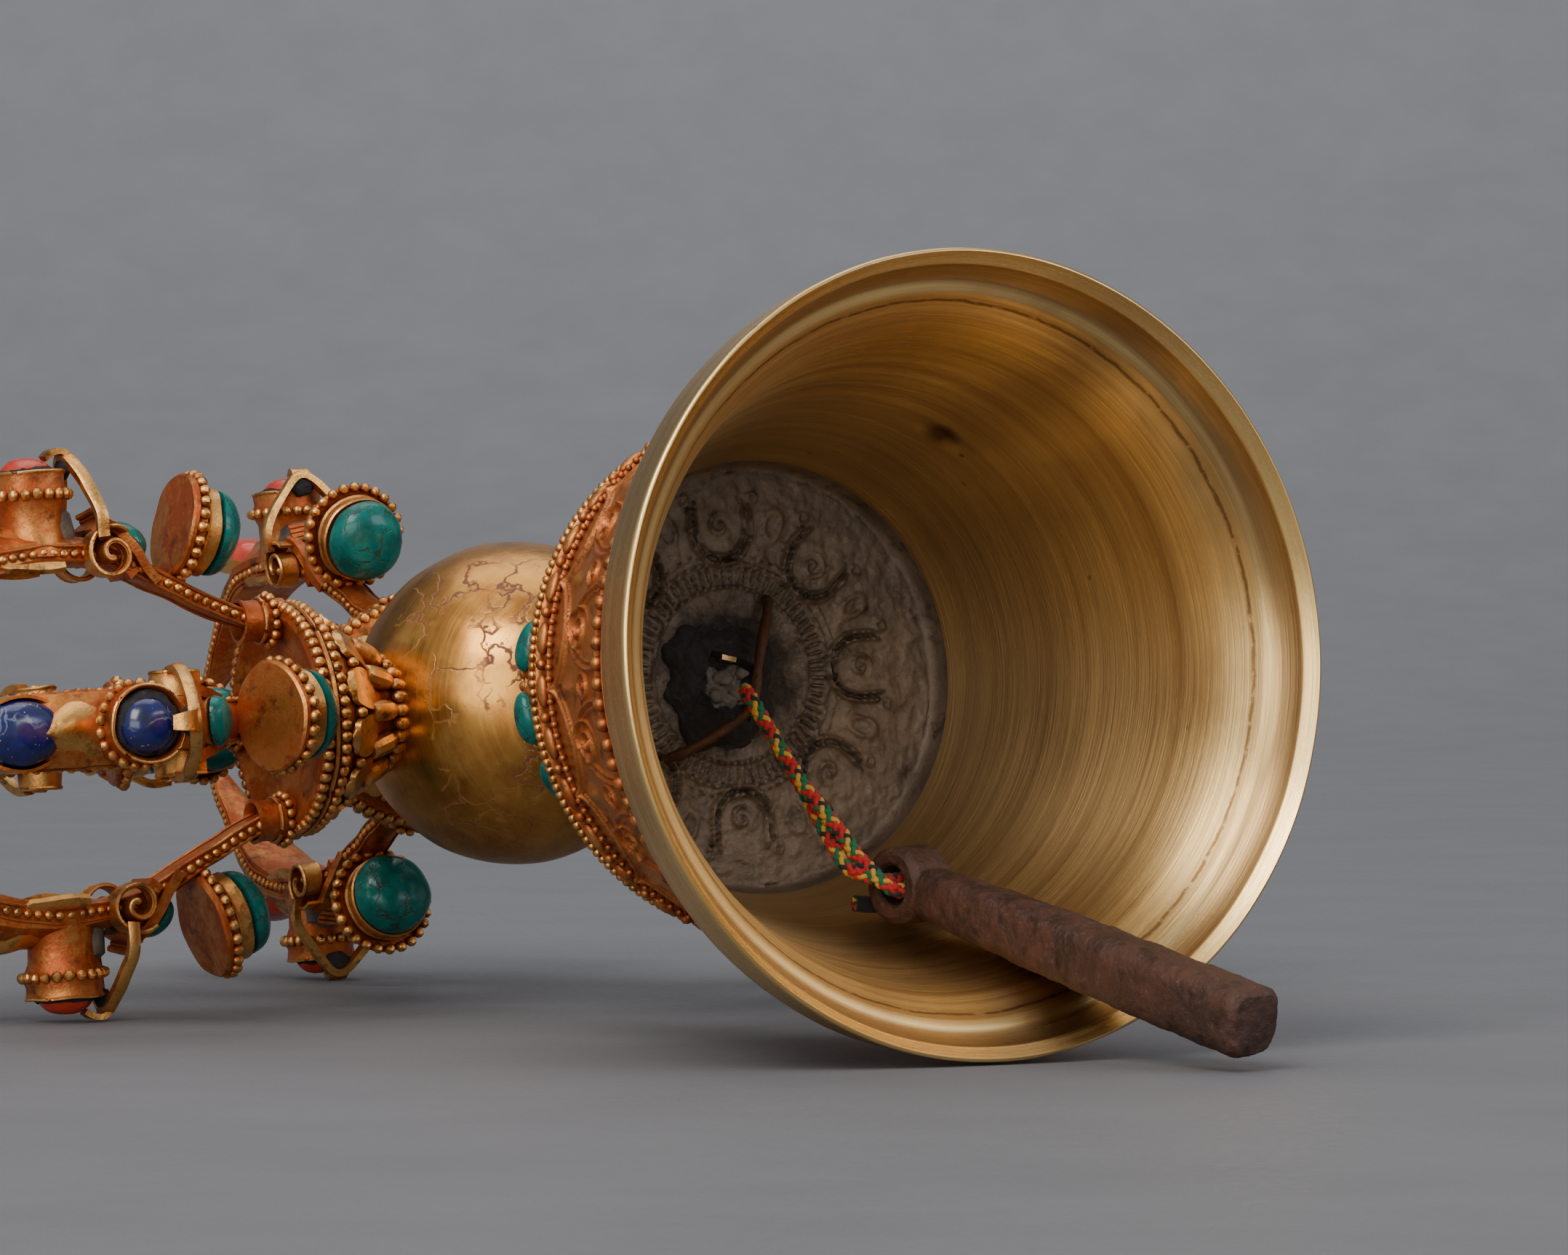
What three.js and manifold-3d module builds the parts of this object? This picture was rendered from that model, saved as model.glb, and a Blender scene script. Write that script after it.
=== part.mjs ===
// A ritual hand bell of the Tibetan kind, lying on its side.
// The bell cup carries a crossed-thunderbolt handle: a gilt ball with three jewelled heads at right
// angles, and a neck on the fourth side that joins the ball to the crown of the bell.
// Millimetres, +Z up, the bell stands on z = 0.  The mouth opens toward -Y.
//
// Everything rigid is drawn in the "bell frame": origin at the mouth's centre, +Z along the bell's
// axis toward the handle, +X toward the right-hand head, +Y downward.
import * as THREE from 'three';
import { mergeVertices } from 'three/addons/utils/BufferGeometryUtils.js';
import Module from 'manifold-3d';

const wasm = await Module();
wasm.setup();

// ---- overall sizes ----
const MOUTH_R = 47;            // outer radius of the mouth
const SHOULDER_R = 31.9;       // radius of the beaded shoulder
const SHOULDER_Z = 52.7;       // height of the shoulder above the mouth
const CROWN_FLOOR_Z = 55.4;    // inner face of the crown
const CROWN_INNER_R = 25.6;    // radius of that face
const HUB_Z = 120.2;           // centre of the gilt ball above the mouth
const HUB_R = 21.5;            // radius of the gilt ball
const HUB_FLAT = 20.2;         // distance of the ball's four seats from its centre
const HEAD_REACH = 103;        // tip of a head, from the ball's centre
const GAP = 0.3;               // clearance between pieces that touch
const ARMS_PER_HEAD = 4;

// ---- how the bell lies ----
const AXIS_DIP = THREE.MathUtils.degToRad(3.37);   // the axis runs down toward the handle
const ROLL = THREE.MathUtils.degToRad(3.2);        // and the left head dips to the table

// ---- finishes ----
const finish = (color, roughness, metalness) => ({ color, roughness, metalness });
const GILT = finish(0xc8843c, 0.42, 0.9);
const GILT_BALL = finish(0xb98a48, 0.34, 0.9);
const BRASS = finish(0xc79a55, 0.36, 0.95);
const CAST = finish(0x6e5a48, 0.85, 0.3);
const PITCH = finish(0x1d1a18, 0.9, 0);
const IRON = finish(0x54382c, 0.8, 0.5);
const TURQUOISE = finish(0x14907c, 0.35, 0);
const CORAL = finish(0xc23c22, 0.4, 0);
const LAPIS = finish(0x1c2a78, 0.35, 0);
const CORD_CLOTH = finish(0xa83224, 0.9, 0);

// ---- shape helpers ----
function closedGeometry(points, faces) {
  const g = new THREE.BufferGeometry();
  g.setAttribute('position', new THREE.Float32BufferAttribute(points.flatMap((p) => [p.x, p.y, p.z]), 3));
  g.setIndex(faces.flat());
  return g;
}

function signedVolume(points, faces) {
  const cross = new THREE.Vector3();
  return faces.reduce((sum, [a, b, c]) => sum + points[a].dot(cross.crossVectors(points[b], points[c])), 0);
}

// Joins a row of rings, each with the same number of points.  A ring of one point is a tip.
// When the row does not close on itself, open end rings are filled with a fan.
function skin(rings, loops = false) {
  const points = [];
  const starts = rings.map((ring) => {
    points.push(...ring);
    return points.length - ring.length;
  });
  const faces = [];
  const last = loops ? rings.length : rings.length - 1;
  for (let i = 0; i < last; i += 1) {
    const next = (i + 1) % rings.length;
    const [a, b] = [rings[i].length, rings[next].length];
    const sides = Math.max(a, b);
    for (let j = 0; j < sides; j += 1) {
      const k = (j + 1) % sides;
      if (a > 1) faces.push([starts[i] + j, starts[i] + k, starts[next] + (b > 1 ? k : 0)]);
      if (b > 1) faces.push([starts[i] + (a > 1 ? j : 0), starts[next] + k, starts[next] + j]);
    }
  }
  if (!loops) {
    [[0, 1], [rings.length - 1, -1]].forEach(([index, side]) => {
      const ring = rings[index];
      if (ring.length === 1) return;
      const middle = ring.reduce((sum, p) => sum.add(p), new THREE.Vector3()).divideScalar(ring.length);
      points.push(middle);
      ring.forEach((_, j) => {
        const pair = [starts[index] + j, starts[index] + ((j + 1) % ring.length)];
        faces.push(side > 0 ? [pair[1], pair[0], points.length - 1] : [...pair, points.length - 1]);
      });
    });
  }
  if (signedVolume(points, faces) < 0) faces.forEach((f) => f.reverse());
  return closedGeometry(points, faces);
}

// Turns a profile of [radius, height] round +Z.  ripple(angle, radius, height) may push a point outward.
function turned(profile, sides, ripple = () => 0, loops = false) {
  const rings = profile.map(([radius, height]) => {
    if (radius === 0) return [new THREE.Vector3(0, 0, height)];
    return Array.from({ length: sides }, (_, j) => {
      const angle = (2 * Math.PI * j) / sides;
      const r = radius + ripple(angle, radius, height);
      return new THREE.Vector3(r * Math.cos(angle), r * Math.sin(angle), height);
    });
  });
  return skin(rings, loops);
}

// A necklace of beads round +Z: a ring whose thickness swells at every bead.
function beadRing(radius, beadR, height, beads, tubeSides = 5) {
  const rings = Array.from({ length: beads * 2 }, (_, j) => {
    const angle = (Math.PI * j) / beads;
    const r = j % 2 ? beadR * 0.72 : beadR;
    return Array.from({ length: tubeSides }, (_, k) => {
      const turn = (2 * Math.PI * k) / tubeSides;
      const out = radius + r * Math.cos(turn);
      return new THREE.Vector3(out * Math.cos(angle), out * Math.sin(angle), height + r * Math.sin(turn));
    });
  });
  return skin(rings, true);
}

function cylinder(radius, length, sides) {
  return turned([[0, 0], [radius, 0], [radius, length], [0, length]], sides);
}

function block(width, depth, height) {
  return new THREE.BoxGeometry(width, depth, height);
}

function tube(points, radius, steps, sides) {
  const outline = new THREE.Shape(Array.from({ length: sides }, (_, k) => {
    const turn = (2 * Math.PI * k) / sides;
    return new THREE.Vector2(radius * Math.cos(turn), radius * Math.sin(turn));
  }));
  const path = new THREE.CatmullRomCurve3(points);
  return new THREE.ExtrudeGeometry(outline, { steps, extrudePath: path, bevelEnabled: false });
}

function toSolid(geometry) {
  const g = geometry.clone();
  g.deleteAttribute('normal');
  g.deleteAttribute('uv');
  const m = mergeVertices(g, 1e-4);
  const mesh = new wasm.Mesh({
    numProp: 3,
    vertProperties: new Float32Array(m.attributes.position.array),
    triVerts: new Uint32Array(m.index.array),
  });
  return new wasm.Manifold(mesh);
}

function toGeometry(solid) {
  const mesh = solid.getMesh();
  const g = new THREE.BufferGeometry();
  g.setAttribute('position', new THREE.Float32BufferAttribute(mesh.vertProperties, 3));
  g.setIndex(Array.from(mesh.triVerts));
  return g;
}

const joined = (...shapes) => toGeometry(shapes.map(toSolid).reduce((a, b) => a.add(b)));
const cut = (shape, ...tools) => toGeometry(tools.map(toSolid).reduce((a, b) => a.subtract(b), toSolid(shape)));

function placed(geometry, x, y, z, rx = 0, ry = 0, rz = 0) {
  const turn = new THREE.Quaternion().setFromEuler(new THREE.Euler(rx, ry, rz));
  const move = new THREE.Matrix4().compose(new THREE.Vector3(x, y, z), turn, new THREE.Vector3(1, 1, 1));
  return geometry.clone().applyMatrix4(move);
}

function add(parent, name, geometry, look) {
  const mesh = new THREE.Mesh(geometry, new THREE.MeshStandardMaterial(look));
  mesh.name = name;
  parent.add(mesh);
  return mesh;
}

const radians = THREE.MathUtils.degToRad;

// ---- the bell cup ----
// The wall's inner face and the gilt sheet's outer face, as [radius, height above the mouth].
const LIP_FACE_R = 45.3;       // inner edge of the sloped lip face
const LIP_FACE_Z = 1.6;
const LIP_STEP_R = 43.7;       // foot of the dark step inside the lip
const LIP_STEP_Z = 4.5;
const LIP_HEIGHT = 7;          // height of the plain band round the mouth
const SHELL_TOP_Z = SHOULDER_Z;
const SHEET = 1;               // thickness of the gilt sheet
const INNER_WALL = [[42.3, 5.2], [38.9, 11], [36.4, 19], [33.4, 30], [30.2, 42], [27.6, 50]];
const SHEET_FACE = [[41, 11], [38.6, 18.5], [35.6, 30], [33.2, 43], [32.2, 51.2]];

function bellShell() {
  const outer = SHEET_FACE.map(([r, z]) => [r - SHEET - GAP, z]);
  const profile = [
    [MOUTH_R, 0.4], [MOUTH_R - 0.4, 0], [LIP_FACE_R, LIP_FACE_Z], [LIP_STEP_R, LIP_STEP_Z],
    ...INNER_WALL,
    [CROWN_INNER_R, SHELL_TOP_Z],
    [outer.at(-1)[0], SHELL_TOP_Z],
    ...outer.reverse(),
    [42.6, 9.6], [MOUTH_R - 0.8, LIP_HEIGHT], [MOUTH_R - 0.25, 2.4],
  ];
  return turned(profile, 48, undefined, true);
}

function shoulderSheet() {
  const petals = 16;
  const face = SHEET_FACE.map(([r, z], i) => [r, i === 0 ? z + GAP : z]);
  const back = SHEET_FACE.map(([r, z], i) => [r - SHEET, i === 0 ? z + GAP : z]).reverse();
  const ripple = (angle, radius, height) => {
    const onFace = face.some(([r, z]) => r === radius && z === height);
    const mid = height > SHEET_FACE[1][1] - 1 && height < SHEET_FACE.at(-1)[1];
    return onFace && mid ? 0.5 * Math.abs(Math.cos((petals * angle) / 2)) : 0;
  };
  return turned([...face, ...back], 48, ripple, true);
}

const SHOULDER_BEAD = 0.62;    // bead radius of the shoulder's edge
const SHOULDER_BEADS = 36;

// The crown is a cast plate with a raised lotus on top and a sunk face inside.
const CROWN_BASE_Z = SHOULDER_Z + GAP;
const CROWN_TOP_Z = 60;
function crownPlate() {
  const rim = SHOULDER_R - 2 * SHOULDER_BEAD - GAP;
  const profile = [
    [0, CROWN_FLOOR_Z], [CROWN_INNER_R, CROWN_FLOOR_Z], [CROWN_INNER_R, CROWN_BASE_Z],
    [rim, CROWN_BASE_Z], [rim, 56], [28.6, 58], [21, 59.4], [11, CROWN_TOP_Z], [0, CROWN_TOP_Z],
  ];
  const ripple = (angle, radius, height) => (height > 57 && radius > 12 ? 0.7 * Math.cos(8 * angle) : 0);
  return turned(profile, 48, ripple);
}

// A lump of black pitch at the middle of the crown, with a square hollow broken into it.
function pitchLump() {
  const thick = 3.2;
  const lump = turned([[0, 0], [9, 0], [8.4, -1.8], [6.2, -thick], [0, -thick]], 12,
    (angle) => 0.9 * Math.cos(3 * angle + 0.6));
  const hollow = placed(block(7, 6.4, 2.4), -0.6, 0.8, -thick, 0, 0, 0.35);
  return placed(cut(lump, hollow), -3.6, 0, CROWN_FLOOR_Z - GAP);
}

// ---- the wire staple in the crown ----
const WIRE_R = 0.75;
const STAPLE_EYE = new THREE.Vector3(-4.7, 3.2, 47.2);     // where the cord hangs from the wire
function staple() {
  const foot = CROWN_FLOOR_Z - GAP - 0.6;
  const path = [
    [2.6, -9.6, foot], [1.6, -8, 53], [-1.6, -3.2, 49.8], [-3.6, 1, 48], [-4.7, 3.2, 47.2],
    [-6.2, 5, 48], [-8.6, 6.8, 50.2], [-11.8, 8.6, 52.6], [-13.4, 9.2, foot],
  ].map((p) => new THREE.Vector3(...p));
  return tube(path, WIRE_R, 24, 8);
}

// ---- the handle's neck, ball and heads ----
const RING_START = 31.3;       // start of the double beaded ring, from the ball's centre
const RING_R = 15.5;
const RING_END = 35;
const SEAT_R = 12.8;           // radius of the circle of arm sockets
const SOCKET_R = 2.5;
const SOCKET_TOP = 36.4;
const PETALS = 12;
const RING_BEADS = 14;
const NECK_BEADS = 12;

function hubBall() {
  const ball = new THREE.IcosahedronGeometry(HUB_R, 5);
  const far = HUB_FLAT + 10;
  const seats = [[0, 1], [0, -1], [1, 0], [-1, 0]].map(([x, z]) => (
    placed(block(20, 20, 20), x * far, 0, z * far)));
  return cut(ball, ...seats);
}

function lotusCollar() {
  const s = HUB_FLAT + GAP;
  const profile = [
    [0, s], [6.2, s], [7.6, s + 0.9], [6.4, s + 1.8], [7, s + 2.8], [10.6, s + 6],
    [13.4, s + 9.6], [12.6, RING_START - GAP], [0, RING_START - GAP],
  ];
  const ripple = (angle, radius) => (radius > 6.9 ? 0.45 * Math.cos(PETALS * angle) : 0);
  return turned(profile, PETALS * 2, ripple);
}

function beadedRing() {
  const mid = (RING_START + RING_END) / 2;
  const profile = [
    [0, RING_START], [RING_R - 1.2, RING_START], [RING_R, RING_START + 0.8], [RING_R - 0.7, mid],
    [RING_R, RING_END - 0.8], [RING_R - 1.2, RING_END], [RING_R - 2.4, RING_END], [8, RING_END - 1.6],
    [0, RING_END - 2],
  ];
  const ripple = (angle, radius) => (radius === RING_R ? 0.35 * Math.cos(RING_BEADS * angle) : 0);
  return turned(profile, RING_BEADS * 2, ripple);
}

function ringWithSockets() {
  const sockets = Array.from({ length: ARMS_PER_HEAD }, (_, i) => {
    const angle = (2 * Math.PI * i) / ARMS_PER_HEAD;
    const post = cylinder(SOCKET_R, SOCKET_TOP - RING_START - 1, 8);
    return placed(post, SEAT_R * Math.cos(angle), SEAT_R * Math.sin(angle), RING_START + 1);
  });
  return joined(beadedRing(), ...sockets);
}

function centrePoint() {
  const profile = [
    [0, RING_END - 2 + GAP], [2, RING_END - 1.7 + GAP], [1.9, 44], [3.6, 48], [3.6, 51], [2, 55],
    [2.6, 72], [3, 84], [1.7, 94], [0, HEAD_REACH],
  ];
  return turned(profile, 10);
}

// Stations of an arm: [along the head, inner radius, outer radius, width].
const ARM = [
  [SOCKET_TOP + GAP, 11.6, 14, 4], [43, 14.2, 16.8, 4.2], [50, 17.6, 20.4, 4.8], [57, 20.7, 24, 6.6],
  [63, 21.4, 25.4, 8.6], [70, 21.1, 26, 9.2], [78, 18.9, 25.2, 9], [86, 14.6, 21, 7],
  [93, 9.6, 14.4, 4.4], [99, 5.6, 8.4, 2], [102, 4.2, 5.6, 0.8],
];
const CUP_S = 67.2;            // centre of the outward cup along the head
const CUP_R = 4.9;
const CUP_TOP = 33.2;          // rim of the cup, from the head's axis
const CUP_STONE_R = 4.1;
const CUP_STONE_TOP = 36;
const DISC_S = 47.6;           // centre of the round setting's back plate
const DISC_RADIAL = 26;
const DISC_R = 7.3;
const DISC_TILT = radians(14);
const BEZEL_R = 6.1;
const BEZEL_LENGTH = 4.2;
const DISC_STONE_R = 5.5;
const DISC_STONE_DOME = 3.4;

function armBar() {
  const rings = ARM.map(([s, low, high, width]) => {
    const [h, eave] = [width / 2, low + (high - low) * 0.7];
    return [[low, -h], [low, h], [eave, h], [high, 0], [eave, -h]]
      .map(([r, y]) => new THREE.Vector3(r, y, s));
  });
  return skin(rings);
}

// A cup along +Z, with a collar between two heights; its stone sits on the end.
function setting(radius, length, collarR, collarFrom, collarTo, sides) {
  const foot = collarFrom > 0 ? [[radius, 0], [radius, collarFrom]] : [];
  const profile = [
    [0, 0], ...foot, [collarR, collarFrom], [collarR, collarTo], [radius, collarTo], [radius, length],
    [0, length],
  ];
  return turned(profile, sides);
}

function dome(radius, height) {
  return turned([[0, 0], [radius, 0], [radius, height * 0.3], [radius * 0.74, height * 0.76], [0, height]], 10);
}

// The cup's axis points away from the head's axis; the round setting faces back toward the ball.
const CUP_FOOT = 23.5;
const cupPlace = (shape) => placed(shape, CUP_FOOT, 0, CUP_S, 0, Math.PI / 2, 0);
const discPlace = (shape) => placed(shape, DISC_RADIAL, 0, DISC_S, 0, Math.PI + DISC_TILT, 0);

function jewelledArm() {
  const cup = cupPlace(setting(CUP_R, CUP_TOP - CUP_FOOT, CUP_R + 0.8, 6.6, 7.8, 8));
  const disc = discPlace(setting(BEZEL_R, BEZEL_LENGTH, DISC_R, 0, 2.2, 10));
  const slope = placed(block(10, 8.4, 2.6), 25.4, 0, 54.6, 0, -radians(40), 0);
  const scroll = placed(cylinder(3.3, 10.8, 8), 26.2, 5.4, 60.2, Math.PI / 2, 0, 0);
  const horn = placed(block(8.6, 3.4, 1.6), 31.2, 0, 60.8, 0, -radians(8), 0);
  const oval = placed(turned([[0, 0], [4.4, 0.4], [3.6, 2.8], [0, 4]], 8), 23.4, 0, 82.4, 0, Math.PI / 2, 0);
  return joined(armBar(), cup, disc, slope, scroll, horn, oval);
}

const cupStone = () => {
  const seat = CUP_TOP - CUP_FOOT + GAP;
  return cupPlace(placed(dome(CUP_STONE_R, CUP_STONE_TOP - CUP_FOOT - seat), 0, 0, seat));
};
const discStone = () => discPlace(placed(dome(DISC_STONE_R, DISC_STONE_DOME), 0, 0, BEZEL_LENGTH + GAP));

// Arms at 0 and 180 degrees carry lapis, the two between them coral.
function addHead(parent, name, turnY) {
  const head = new THREE.Group();
  head.position.set(0, 0, HUB_Z);
  head.rotation.y = turnY;
  parent.add(head);
  add(head, `${name}_lotus`, lotusCollar(), GILT);
  add(head, `${name}_ring`, ringWithSockets(), GILT);
  add(head, `${name}_centre_point`, centrePoint(), GILT);
  const shapes = [jewelledArm(), cupStone(), discStone()];
  for (let i = 0; i < ARMS_PER_HEAD; i += 1) {
    const turn = new THREE.Group();
    turn.rotation.z = (2 * Math.PI * i) / ARMS_PER_HEAD;
    head.add(turn);
    add(turn, `${name}_arm_${i + 1}`, shapes[0], GILT);
    const [gem, look] = i % 2 ? ['coral', CORAL] : ['lapis', LAPIS];
    add(turn, `${name}_${gem}_${i + 1}`, shapes[1], look);
    add(turn, `${name}_turquoise_${i + 1}`, shapes[2], TURQUOISE);
  }
}

// The neck repeats a head's lotus and ring, then swells into a vase with a belt of set stones.
function neckVase() {
  const top = HUB_Z - RING_END - GAP;
  const belt = 82.4;
  const profile = [
    [0, CROWN_TOP_Z + GAP], [14.6, CROWN_TOP_Z + GAP], [15.6, 61.6], [14.2, 63.4], [10.6, 68],
    [10.2, 72], [12.6, 77], [15, 79.4], [16.2, belt], [14.6, top], [0, top],
  ];
  const ripple = (angle, radius, height) => (
    height === belt ? 0.6 * Math.cos(NECK_BEADS * angle) : 0);
  return turned(profile, NECK_BEADS * 2, ripple);
}

// ---- the cord and the clapper ----
const CORD_R = 1.4;
const CLAPPER_EYE = new THREE.Vector3(5.9, 26.4, 31);      // centre of the hole in the clapper
const CLAPPER_END = new THREE.Vector3(17.2, 44.4, -24);    // middle of the rod's far face
const EYE_R = 4.9;
const EYE_THICK = 6.4;
const EYE_HOLE_R = 2.3;

// Drawn with the eye at the origin and the rod along -Z.
function clapperRod(length) {
  const wave = [[3.1, -2], [3.4, -9], [3.7, -20], [4, -34], [4.25, -length + 1.2], [3.5, -length]];
  const rod = skin(wave.map(([r, z]) => Array.from({ length: 8 }, (_, k) => {
    const turn = (Math.PI * (k + 0.5)) / 4;
    return new THREE.Vector3(r * Math.cos(turn), r * Math.sin(turn), z);
  })));
  const eye = placed(turned([[0, 0], [EYE_R - 1, 0], [EYE_R, 1], [EYE_R, EYE_THICK - 1],
    [EYE_R - 1, EYE_THICK], [0, EYE_THICK]], 16), 0, EYE_THICK / 2, 0, Math.PI / 2, 0, 0);
  const hole = placed(cylinder(EYE_HOLE_R, 2 * EYE_THICK, 12), 0, EYE_THICK, 0, Math.PI / 2, 0, 0);
  return cut(joined(rod, eye), hole);
}

function addClapper(parent) {
  const along = CLAPPER_END.clone().sub(CLAPPER_EYE);
  const length = along.length();
  const back = along.clone().normalize().negate();
  // The hole lies level, square to the rod.
  const level = new THREE.Vector3(0, 1, 0).cross(back).normalize();
  const side = level.clone().cross(back).normalize();
  const clapper = add(parent, 'clapper', clapperRod(length), IRON);
  clapper.position.copy(CLAPPER_EYE);
  clapper.quaternion.setFromRotationMatrix(new THREE.Matrix4().makeBasis(side, level, back));
}

const LOOP_R = 3.3;            // middle radius of the cord's loop round the staple
const LOOP_TUBE = 1.15;
function addCord(parent) {
  const run = CLAPPER_EYE.clone().sub(STAPLE_EYE);
  const away = run.clone().normalize();
  // The loop stands square to the wire, in the plane of the cord's run.
  const wire = new THREE.Vector3(-0.5, 0.82, 0).normalize();
  const plane = wire.clone().addScaledVector(away, -wire.dot(away)).normalize();
  const ring = Array.from({ length: 16 }, (_, i) => {
    const angle = (2 * Math.PI * i) / 16;
    const out = away.clone().multiplyScalar(Math.cos(angle))
      .addScaledVector(plane.clone().cross(away), Math.sin(angle));
    return Array.from({ length: 8 }, (_, k) => {
      const turn = (2 * Math.PI * k) / 8;
      return STAPLE_EYE.clone().addScaledVector(out, LOOP_R + LOOP_TUBE * Math.cos(turn))
        .addScaledVector(plane, LOOP_TUBE * Math.sin(turn));
    });
  });
  add(parent, 'cord_loop', skin(ring, true), CORD_CLOTH);

  const start = STAPLE_EYE.clone().addScaledVector(away, LOOP_R + LOOP_TUBE + GAP);
  // Twice the usual gap, since the corners of the eye swing past this end.
  const end = CLAPPER_EYE.clone().addScaledVector(away, -EYE_R - 2 * GAP);
  const sag = new THREE.Vector3(0, 0.8, 0);
  const route = [0, 0.25, 0.5, 0.75, 1].map((t) => (
    start.clone().lerp(end, t).addScaledVector(sag, Math.sin(Math.PI * t))));
  add(parent, 'cord', tube(route, CORD_R, 14, 8), CORD_CLOTH);
}

// ---- assembly ----
const bell = new THREE.Group();
bell.name = 'tibetan_bell';
const lying = new THREE.Group();
bell.add(lying);

add(lying, 'bell_shell', bellShell(), BRASS);
add(lying, 'shoulder_sheet', shoulderSheet(), GILT);
const shoulderEdge = beadRing(
  SHOULDER_R - SHOULDER_BEAD, SHOULDER_BEAD, SHOULDER_Z + SHOULDER_BEAD, SHOULDER_BEADS,
);
add(lying, 'shoulder_beads', shoulderEdge, GILT);
add(lying, 'crown_plate', crownPlate(), CAST);
add(lying, 'crown_pitch', pitchLump(), PITCH);
add(lying, 'staple', staple(), IRON);
add(lying, 'neck_vase', neckVase(), GILT);
const ballFacingBell = (shape) => placed(shape, 0, 0, HUB_Z, Math.PI, 0, 0);
add(lying, 'neck_ring', ballFacingBell(beadedRing()), GILT);
add(lying, 'neck_lotus', ballFacingBell(lotusCollar()), GILT);
add(lying, 'hub_ball', hubBall(), GILT_BALL).position.z = HUB_Z;
addHead(lying, 'left', -Math.PI / 2);
addHead(lying, 'right', Math.PI / 2);
addHead(lying, 'top', 0);
addCord(lying);
addClapper(lying);

// Lay the bell down: mouth toward -Y, then set it on z = 0 with the middle of its box at the origin.
lying.rotation.set(-(Math.PI / 2 + AXIS_DIP), 0, -ROLL);
lying.updateWorldMatrix(true, true);
const box = new THREE.Box3().setFromObject(lying, true);
const middle = box.getCenter(new THREE.Vector3());
lying.position.set(-middle.x, -middle.y, -box.min.z);

export default bell;
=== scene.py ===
"""A ritual bell of the Tibetan kind lying on its side, its handle a crossed thunderbolt round a gilt ball.

Every rigid piece is drawn in the bell's own frame, in millimetres: origin at the middle of the mouth,
+Z along the axis toward the handle, +X toward the right-hand head and +Y downward.  LIE carries that
frame into the row frame.  A head is drawn with +Z along it from the ball's centre, and an arm with +X
away from the head's axis.
"""
import math
import random

import bmesh
import bpy
import numpy as np
from mathutils import Euler, Matrix, Vector, noise


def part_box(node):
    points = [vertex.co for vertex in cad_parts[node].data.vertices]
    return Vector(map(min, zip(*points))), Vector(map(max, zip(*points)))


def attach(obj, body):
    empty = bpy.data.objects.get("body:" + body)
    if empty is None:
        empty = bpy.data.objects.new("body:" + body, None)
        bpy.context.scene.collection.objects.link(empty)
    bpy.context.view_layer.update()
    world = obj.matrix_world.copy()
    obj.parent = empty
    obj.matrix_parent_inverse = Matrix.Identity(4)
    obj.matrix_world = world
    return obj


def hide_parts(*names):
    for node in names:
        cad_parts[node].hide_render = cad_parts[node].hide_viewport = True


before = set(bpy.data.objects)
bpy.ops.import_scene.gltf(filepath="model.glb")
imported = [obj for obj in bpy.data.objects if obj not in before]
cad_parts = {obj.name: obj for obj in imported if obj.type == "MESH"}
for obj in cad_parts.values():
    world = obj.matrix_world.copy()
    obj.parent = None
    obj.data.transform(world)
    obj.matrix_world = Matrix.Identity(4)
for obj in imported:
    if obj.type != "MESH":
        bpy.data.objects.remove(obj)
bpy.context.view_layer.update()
noise.seed_set(1)  # otherwise noise_vector starts from the clock, and each run comes out differently

MM = 0.001
TAU = 2 * math.pi
SIDEWAYS = Vector((0, 1, 0))

# ---- sizes shared with the CAD model, in millimetres ----
SHOULDER_R = 31.9
SHOULDER_Z = 52.7
CROWN_FLOOR_Z = 55.4
CROWN_INNER_R = 25.6
HUB_Z = 120.2
HUB_R = 21.5
HUB_FLAT = 20.2
HEAD_REACH = 103
RING_START, RING_END = 31.3, 35
SEAT_R, SOCKET_R = 12.8, 2.5
CUP_S, CUP_FOOT, CUP_TOP, CUP_STONE_TOP = 67.2, 23.5, 33.2, 35.6
DISC_S, DISC_RADIAL, DISC_TILT = 47.6, 26, math.radians(14)
INNER_WALL = [(42.3, 5.2), (38.9, 11), (36.4, 19), (33.4, 30), (30.2, 42), (28.1, 49), (26.7, 52.9)]
SHEET = 1
SHEET_FACE = [(41, 11.3), (38.6, 18.5), (35.6, 30), (33.2, 43), (32.2, 51.2)]
ARM = [
    (36.7, 11.6, 14, 4), (43, 14.2, 16.8, 4.2), (50, 17.6, 20.4, 4.8), (57, 20.7, 24, 6.6),
    (63, 21.4, 25.4, 8.6), (70, 21.1, 26, 9.2), (78, 18.9, 25.2, 9), (86, 14.6, 21, 7),
    (93, 9.6, 14.4, 4.4), (99, 5.6, 8.4, 2), (102, 4.2, 5.6, 0.8),
]
STAPLE = [
    (2.6, -9.6, 54.9), (1.6, -8, 53), (-1.6, -3.2, 49.8), (-3.6, 1, 48), (-4.7, 3.2, 47.2),
    (-6.2, 5, 48), (-8.6, 6.8, 50.2), (-11.8, 8.6, 52.6), (-13.4, 9.2, 54.9),
]
STAPLE_EYE = Vector((-4.7, 3.2, 47.2))
WIRE_R = 0.75
CLAPPER_EYE = Vector((5.9, 26.4, 31))
CLAPPER_END = Vector((17.2, 44.4, -24))
EYE_R, EYE_THICK, EYE_HOLE_R = 4.9, 6.4, 2.3
DENT = Vector((17, -27.5, 34.1))
CROWN_CENTRE = (-3, -0.5)

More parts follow.
